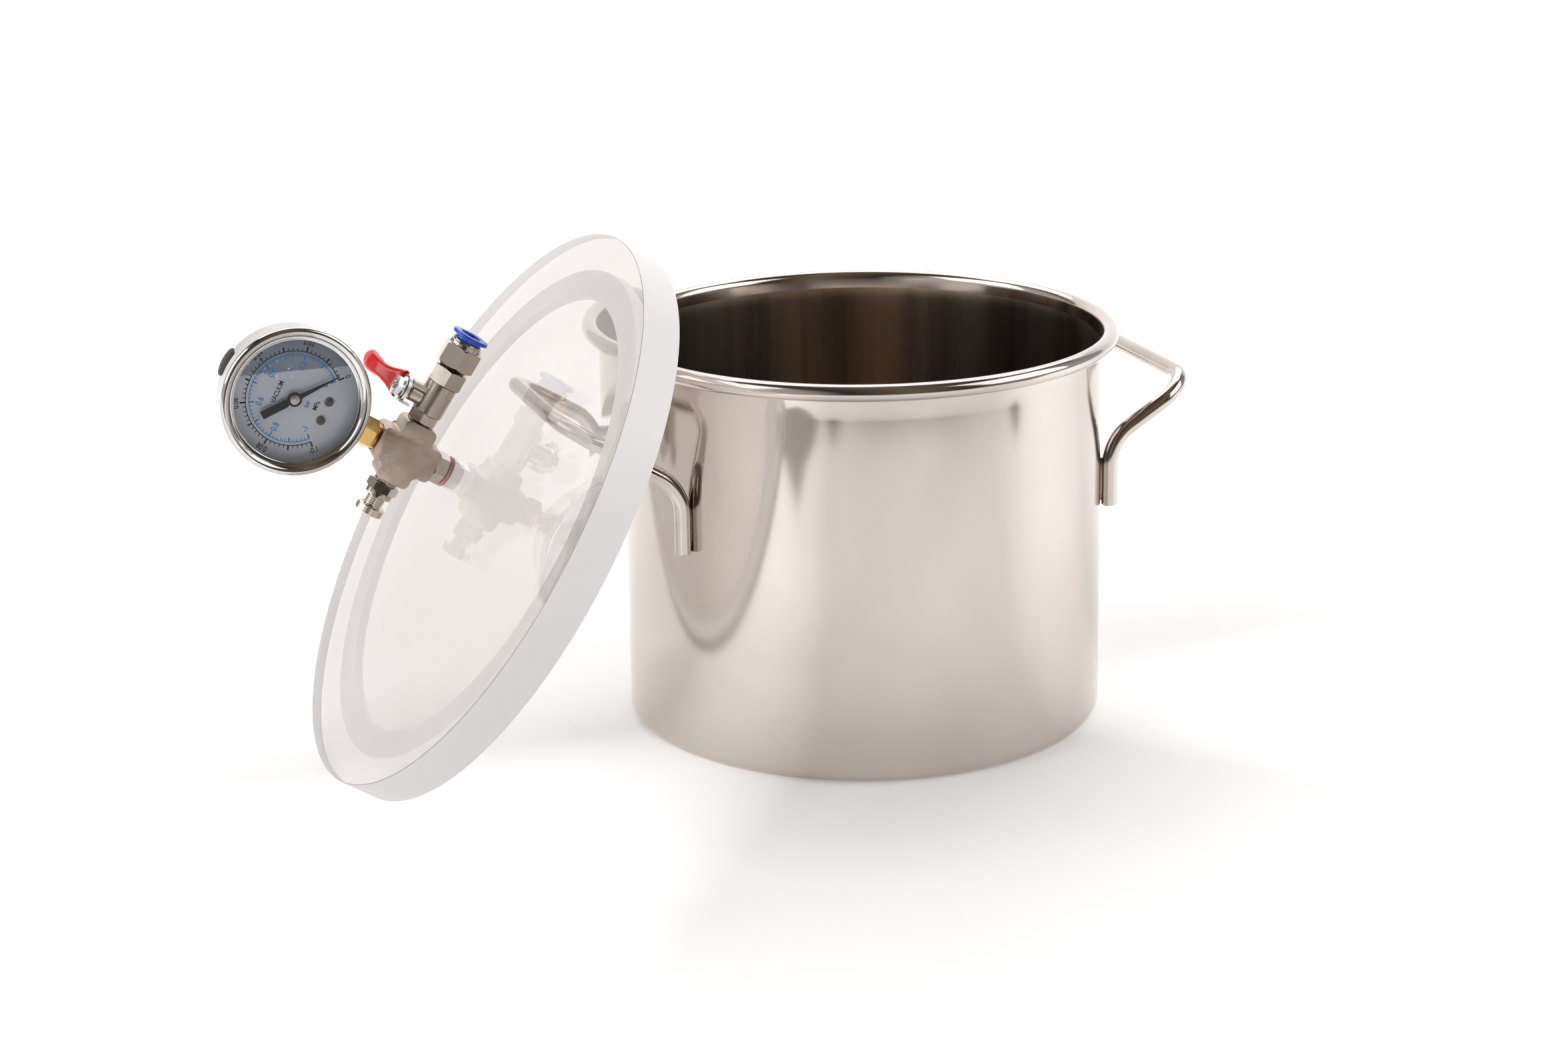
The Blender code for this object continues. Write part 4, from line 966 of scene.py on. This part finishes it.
def oval_sections(run, thick, grow, tip, power=0.7, count=36):
    """Rounded-rectangle sections square to the lever's run."""
    sections = []
    for k, station in enumerate(run):
        before, after = run[max(k - 1, 0)], run[min(k + 1, len(run) - 1)]
        along = Vector((after.x - before.x, 0, after.y - before.y)).normalized()
        normal = Vector((-along.z, 0, along.x))
        middle = Vector((station.x, 0, station.y))
        ring = []
        for angle in turns(count):
            across, through = squarer(cos(angle), power), squarer(sin(angle), power)
            ring.append(middle + Vector((0, across * (station.z + grow), 0)) + normal * (through * thick))
        sections.append(ring)
    last = sections[-1]
    centre = sum(last, Vector()) / len(last)
    for share in (0.5, 0.8, 0.97):
        push = along * (tip * share)
        shrink = sqrt(1 - share * share)
        sections.append([centre + (point - centre) * shrink + push for point in last])
    return sections


def sleeve():
    run = even(lever_run(), 44)
    outer = oval_sections(run, 2.35, 1.35, 1.9)
    inner = oval_sections(run, 1.2, 0.35, 0.4)
    bm = bmesh.new()
    skins = []
    for sections in (outer, inner):
        rings = [[bm.verts.new(point) for point in section] for section in sections]
        for first, second in zip(rings, rings[1:]):
            bridge(bm, first, second)
        bm.faces.new(rings[-1])
        skins.append(rings)
    bridge(bm, skins[0][0], skins[1][0])
    vinyl = plastic("dipped_red_vinyl", (0.90, 0.010, 0.010), 0.14, 0.24, 0.3, 0.88, 0.10)
    made = finish("vinyl_sleeve", bm, STEM, "valve_turning_group", vinyl, 60.0)
    round_edges(made, 0.3, 3, 60.0)
    stand_for(made, "lever_sleeve")


def lever():
    zinc = metal("zinc_plate", ZINC, 0.16, 0.34, 500.0, 0.25)
    group = "valve_turning_group"
    hub = lathe("lever_hub", [(0, 15.0), (6.9, 15.0), (6.9, 16.8), (0, 16.8)], STEM, steps=72)
    keys = [(2.0, 15.95, 6.2), (5.6, 16.0, 6.2), *lever_run()[1:]]
    arm = loft("arm", oval_sections(even(keys, 40), 0.85, 0.0, 0.0, 0.35, 24)[:-3], STEM)
    tab = prism("tab", [(-3.0, 5.2), (3.0, 5.2), (3.0, 6.6), (-3.0, 6.6)], 10.2, 16.0, STEM)
    holes = [(STEM_BORE_R, 14.0, 18.0, STEM)]
    fitting("lever_plate", "valve_lever", [hub, arm, tab], holes, zinc, 0.25, 2, group)
    made = nut("hub_nut", 9.2, 18.0, 21.2, STEM, 10.0, 0.5)
    flange = [(0, 17.1), (5.9, 17.1), (5.9, 17.6), (5.0, 18.5), (0, 18.5)]
    parts = [made, lathe("flange", flange, STEM)]
    fitting("lever_hub_nut", "lever_nut", parts, [(STEM_BORE_R, 16.0, 23.0, STEM)], zinc, 0.2, 3, group)


# ---- kept CAD nodes


def kept_nodes():
    """Better materials and softened edges on the CAD nodes that still show."""
    brass = metal("movement_brass", BRASS, 0.2, 0.34, 700.0, 0.1)
    bronze = metal("tube_bronze", (0.58, 0.34, 0.16), 0.22, 0.36)
    dark = metal("dark_steel", (0.10, 0.09, 0.085), 0.22, 0.36)
    rubber = plastic("soft_black_rubber", (0.02, 0.02, 0.022), 0.4, 0.6)
    white = plastic("ptfe", (0.85, 0.85, 0.83), 0.35, 0.5)
    paint = plastic("pointer_black", (0.006, 0.006, 0.007), 0.35, 0.5)
    tune(paint, "Specular IOR Level", 0.15)
    ball = metal("ball_chrome", (0.78, 0.78, 0.79), 0.03, 0.07)
    hub = metal("stem_brass", (0.72, 0.60, 0.42), 0.25, 0.4)
    for look, nodes in (
        (brass, ("movement_back_plate", "movement_front_plate", "sector_gear", "sector_link")),
        (bronze, ("bourdon_tube", "hairspring")),
        (dark, ("dial_screw_left", "dial_screw_right", "pushfit_grab_ring")),
        (rubber, ("gauge_window_seal", "pushfit_tube_seal", "bleed_seal")),
        (white, ("valve_seat_lower", "valve_seat_upper")),
        (hub, ("valve_stem", "pointer_shaft")),
        (paint, ("pointer",)),
        (ball, ("valve_ball",)),
    ):
        for node in nodes:
            smooth(dress(frame["nodes"][node], None, look))


def bubbles():
    """Small flattened bubbles in the filling, gathered under the window."""
    parts = []
    for k in range(17):
        across = -21.0 + 1.25 * k + 1.6 * sin(k * 5.1)
        up = 15.0 + 4.5 * sin(k * 2.7) - 0.12 * across
        radius = 0.22 + 0.26 * abs(sin(k * 1.9)) ** 2
        spot = Matrix.Translation(GAUGE.translation + Vector((across, 0, up)))
        spot = spot @ at((0, 0, 0), (1, 0, 0), (0, -1, 0)) @ Matrix.Translation((0, 0, 16.3))
        dome = [(0, 0)] + arc((0, 0), radius, 0, 60, 5) + [(radius * 0.35, radius * 0.9), (0, radius * 0.92)]
        parts.append(lathe("bubble", dome, spot, steps=16))
    wet = metal("bubble_skin", (0.86, 0.90, 0.95), 0.05, 0.1, 300.0, 0.0)
    tune(wet, "Alpha", 0.45)
    joined("filling_bubbles", parts, "lid", wet)


def pointer_cap():
    """The bright disc in the middle of the hand."""
    profile = [(0, 16.25), (2.3, 16.25), (2.35, 16.35)] + arc((2.15, 16.4), 0.2, 0, 90, 3)
    steel = metal("pointer_cap_steel", (0.45, 0.42, 0.40), 0.2, 0.35, 900.0, 0.2)
    cap = lathe("pointer_cap", profile + [(0, 16.62)], GAUGE, "gauge_hand", steel, 48)


# ---- stage


LOOK = Vector((0.3139, 0.9043, -0.2893))
# How far the paper reaches in front of the pot, by the angle from the camera's side.
PAPER_EDGE = ((-78, 2.9), (-60, 1.7), (-46, 1.1), (-40, 0.80), (-29, 0.60), (-19, 0.95), (-14, 0.84),
              (-8, 0.98), (20, 0.94), (50, 1.0), (64, 1.05), (70, 0.76), (77, 0.52))


def floor():
    """A pale sweep: flat under the object, curving up behind it."""
    bm = bmesh.new()
    view = Vector((LOOK.x, LOOK.y, 0)).normalized()
    side = Vector((view.y, -view.x, 0))
    flat_to, sweep_r, half_width = 1.6, 1.2, 3.2
    profile = [(-0.2, 0.0), (0.5, 0.0), (flat_to, 0.0)]
    for k in range(1, 13):
        angle = pi / 24 * k
        profile.append((flat_to + sweep_r * sin(angle), sweep_r - sweep_r * cos(angle)))
    profile.append((flat_to + sweep_r, 3.0))
    rows = []
    for along, height in profile:
        spot = view * along + Vector((0, 0, height))
        rows.append([bm.verts.new(spot + side * (half_width * s)) for s in (-1, 0, 1)])
    for first, second in zip(rows, rows[1:]):
        for i in range(2):
            bm.faces.new((first[i], first[i + 1], second[i + 1], second[i]))
    front = []
    for degrees, reach in PAPER_EDGE:
        angle = radians(degrees)
        spot = side * (reach * sin(angle)) - view * (reach * cos(angle))
        if spot.dot(view) < -0.22:
            front.append(bm.verts.new(spot))
    bm.faces.new([rows[0][0]] + front + [rows[0][2], rows[0][1]])
    bmesh.ops.recalc_face_normals(bm, faces=bm.faces)
    sweep = add("sweep", mesh_from("sweep", bm))
    for polygon in sweep.data.polygons:
        polygon.use_smooth = True
    g = Graph("pale_paper")
    tone = g.mix(g.spread(g.noise(3.0), 0.0, 1.0), (0.90, 0.90, 0.90), (0.885, 0.885, 0.885))
    g.set(Emission_Color=(1.0, 0.995, 0.99), Emission_Strength=paper_light(g), Specular_IOR_Level=0.0)
    sweep.data.materials.append(g.set(Base_Color=tone, Roughness=0.9))


def paper_light(g):
    """The paper glows a little, less near the pot and more in two directions, which stripes the steel."""
    spot = g.node("ShaderNodeTexCoord").outputs["Object"]
    unit = g.vector("NORMALIZE", spot).outputs[0]
    total = g.spread(g.noise(2.6, 2.0), 0.34, 0.44, 0.35, 0.65)
    for way, gain in (((-0.892, -0.452, 0.0), 0.50), ((0.933, -0.361, 0.0), 0.34)):
        wedge = g.spread(g.along(way, unit), 0.0, gain, 0.88, 1.0)
        total = g.work_out("ADD", total, wedge)
    away = g.vector("LENGTH", spot).outputs["Value"]
    return g.work_out("MULTIPLY", total, g.spread(away, 0.55, 1.0, 0.14, 0.45))


def softbox(name, place, aim, width, height, power, colour=(1, 1, 1)):
    lamp = bpy.data.lights.new(name, "AREA")
    lamp.shape = "RECTANGLE"
    lamp.size, lamp.size_y = width, height
    lamp.energy = power
    lamp.color = colour
    obj = add(name, lamp)
    obj.location = place
    obj.rotation_mode = "QUATERNION"
    obj.rotation_quaternion = (Vector(aim) - Vector(place)).to_track_quat("-Z", "Y")


def world():
    """A studio toned from side to side, which the metal reflects, and plain pale where seen directly."""
    made = bpy.data.worlds.new("studio")
    bpy.context.scene.world = made
    made.use_nodes = True
    new, link = made.node_tree.nodes.new, made.node_tree.links.new
    back = made.node_tree.nodes["Background"]
    coordinates, split = new("ShaderNodeTexCoord"), new("ShaderNodeSeparateXYZ")
    span, ramp = new("ShaderNodeMapRange"), new("ShaderNodeValToRGB")
    span.inputs["From Min"].default_value = -1.0
    link(coordinates.outputs["Generated"], split.inputs["Vector"])
    link(split.outputs["X"], span.inputs["Value"])
    link(span.outputs["Result"], ramp.inputs["Fac"])
    stops = ramp.color_ramp.elements
    stops[0].color = (0.60, 0.585, 0.57, 1)
    stops[1].color = (0.45, 0.44, 0.43, 1)
    for place, colour in ((0.14, (0.5, 0.48, 0.46, 1)), (0.27, (0.03, 0.027, 0.025, 1)),
                          (0.53, (0.19, 0.15, 0.115, 1)), (0.74, (0.02, 0.018, 0.016, 1))):
        stops.new(place).color = colour
    sight, seen, either = new("ShaderNodeLightPath"), new("ShaderNodeMix"), new("ShaderNodeMath")
    seen.data_type = "RGBA"
    seen.inputs[7].default_value = (0.97, 0.97, 0.97, 1.0)
    either.operation = "MAXIMUM"
    link(sight.outputs["Is Camera Ray"], either.inputs[0])
    link(sight.outputs["Is Transmission Ray"], either.inputs[1])
    link(either.outputs[0], seen.inputs["Factor"])
    link(ramp.outputs["Color"], seen.inputs[6])
    link(seen.outputs[2], back.inputs["Color"])


def camera():
    look = LOOK.normalized()
    level = Vector((look.y, -look.x, 0)).normalized()
    upright = level.cross(look)
    right = (level - upright * 0.0145).normalized()
    up = right.cross(look)
    data = bpy.data.cameras.new("camera")
    data.lens = 74.36
    data.sensor_width = 36.0
    obj = add("camera", data)
    turn = Matrix((right, up, -look)).transposed().to_4x4()
    obj.matrix_world = Matrix.Translation((-0.5548, -1.4761, 0.5730)) @ turn
    bpy.context.scene.camera = obj


def light():
    softbox("key_left", (-3.3, -0.1, 2.0), (0, 0, 0.1), 2.8, 2.6, 52, (1.0, 0.99, 0.98))
    softbox("key_right", (2.6, -1.6, 2.0), (0, 0, 0.1), 3.0, 2.6, 46, (1.0, 0.985, 0.97))
    softbox("back_top", (0.4, 1.6, 2.6), (0, 0, 0.1), 3.6, 2.2, 46, (1.0, 1.0, 1.0))


for step in (camera, pot, handles, lid, gasket, nipple, cross, gauge_shell, dial, socket, valve, outlet,
             bleed, sleeve, lever, kept_nodes, pointer_cap, bubbles, floor, light, world):
    step()
bpy.context.scene.view_settings.view_transform = "Standard"
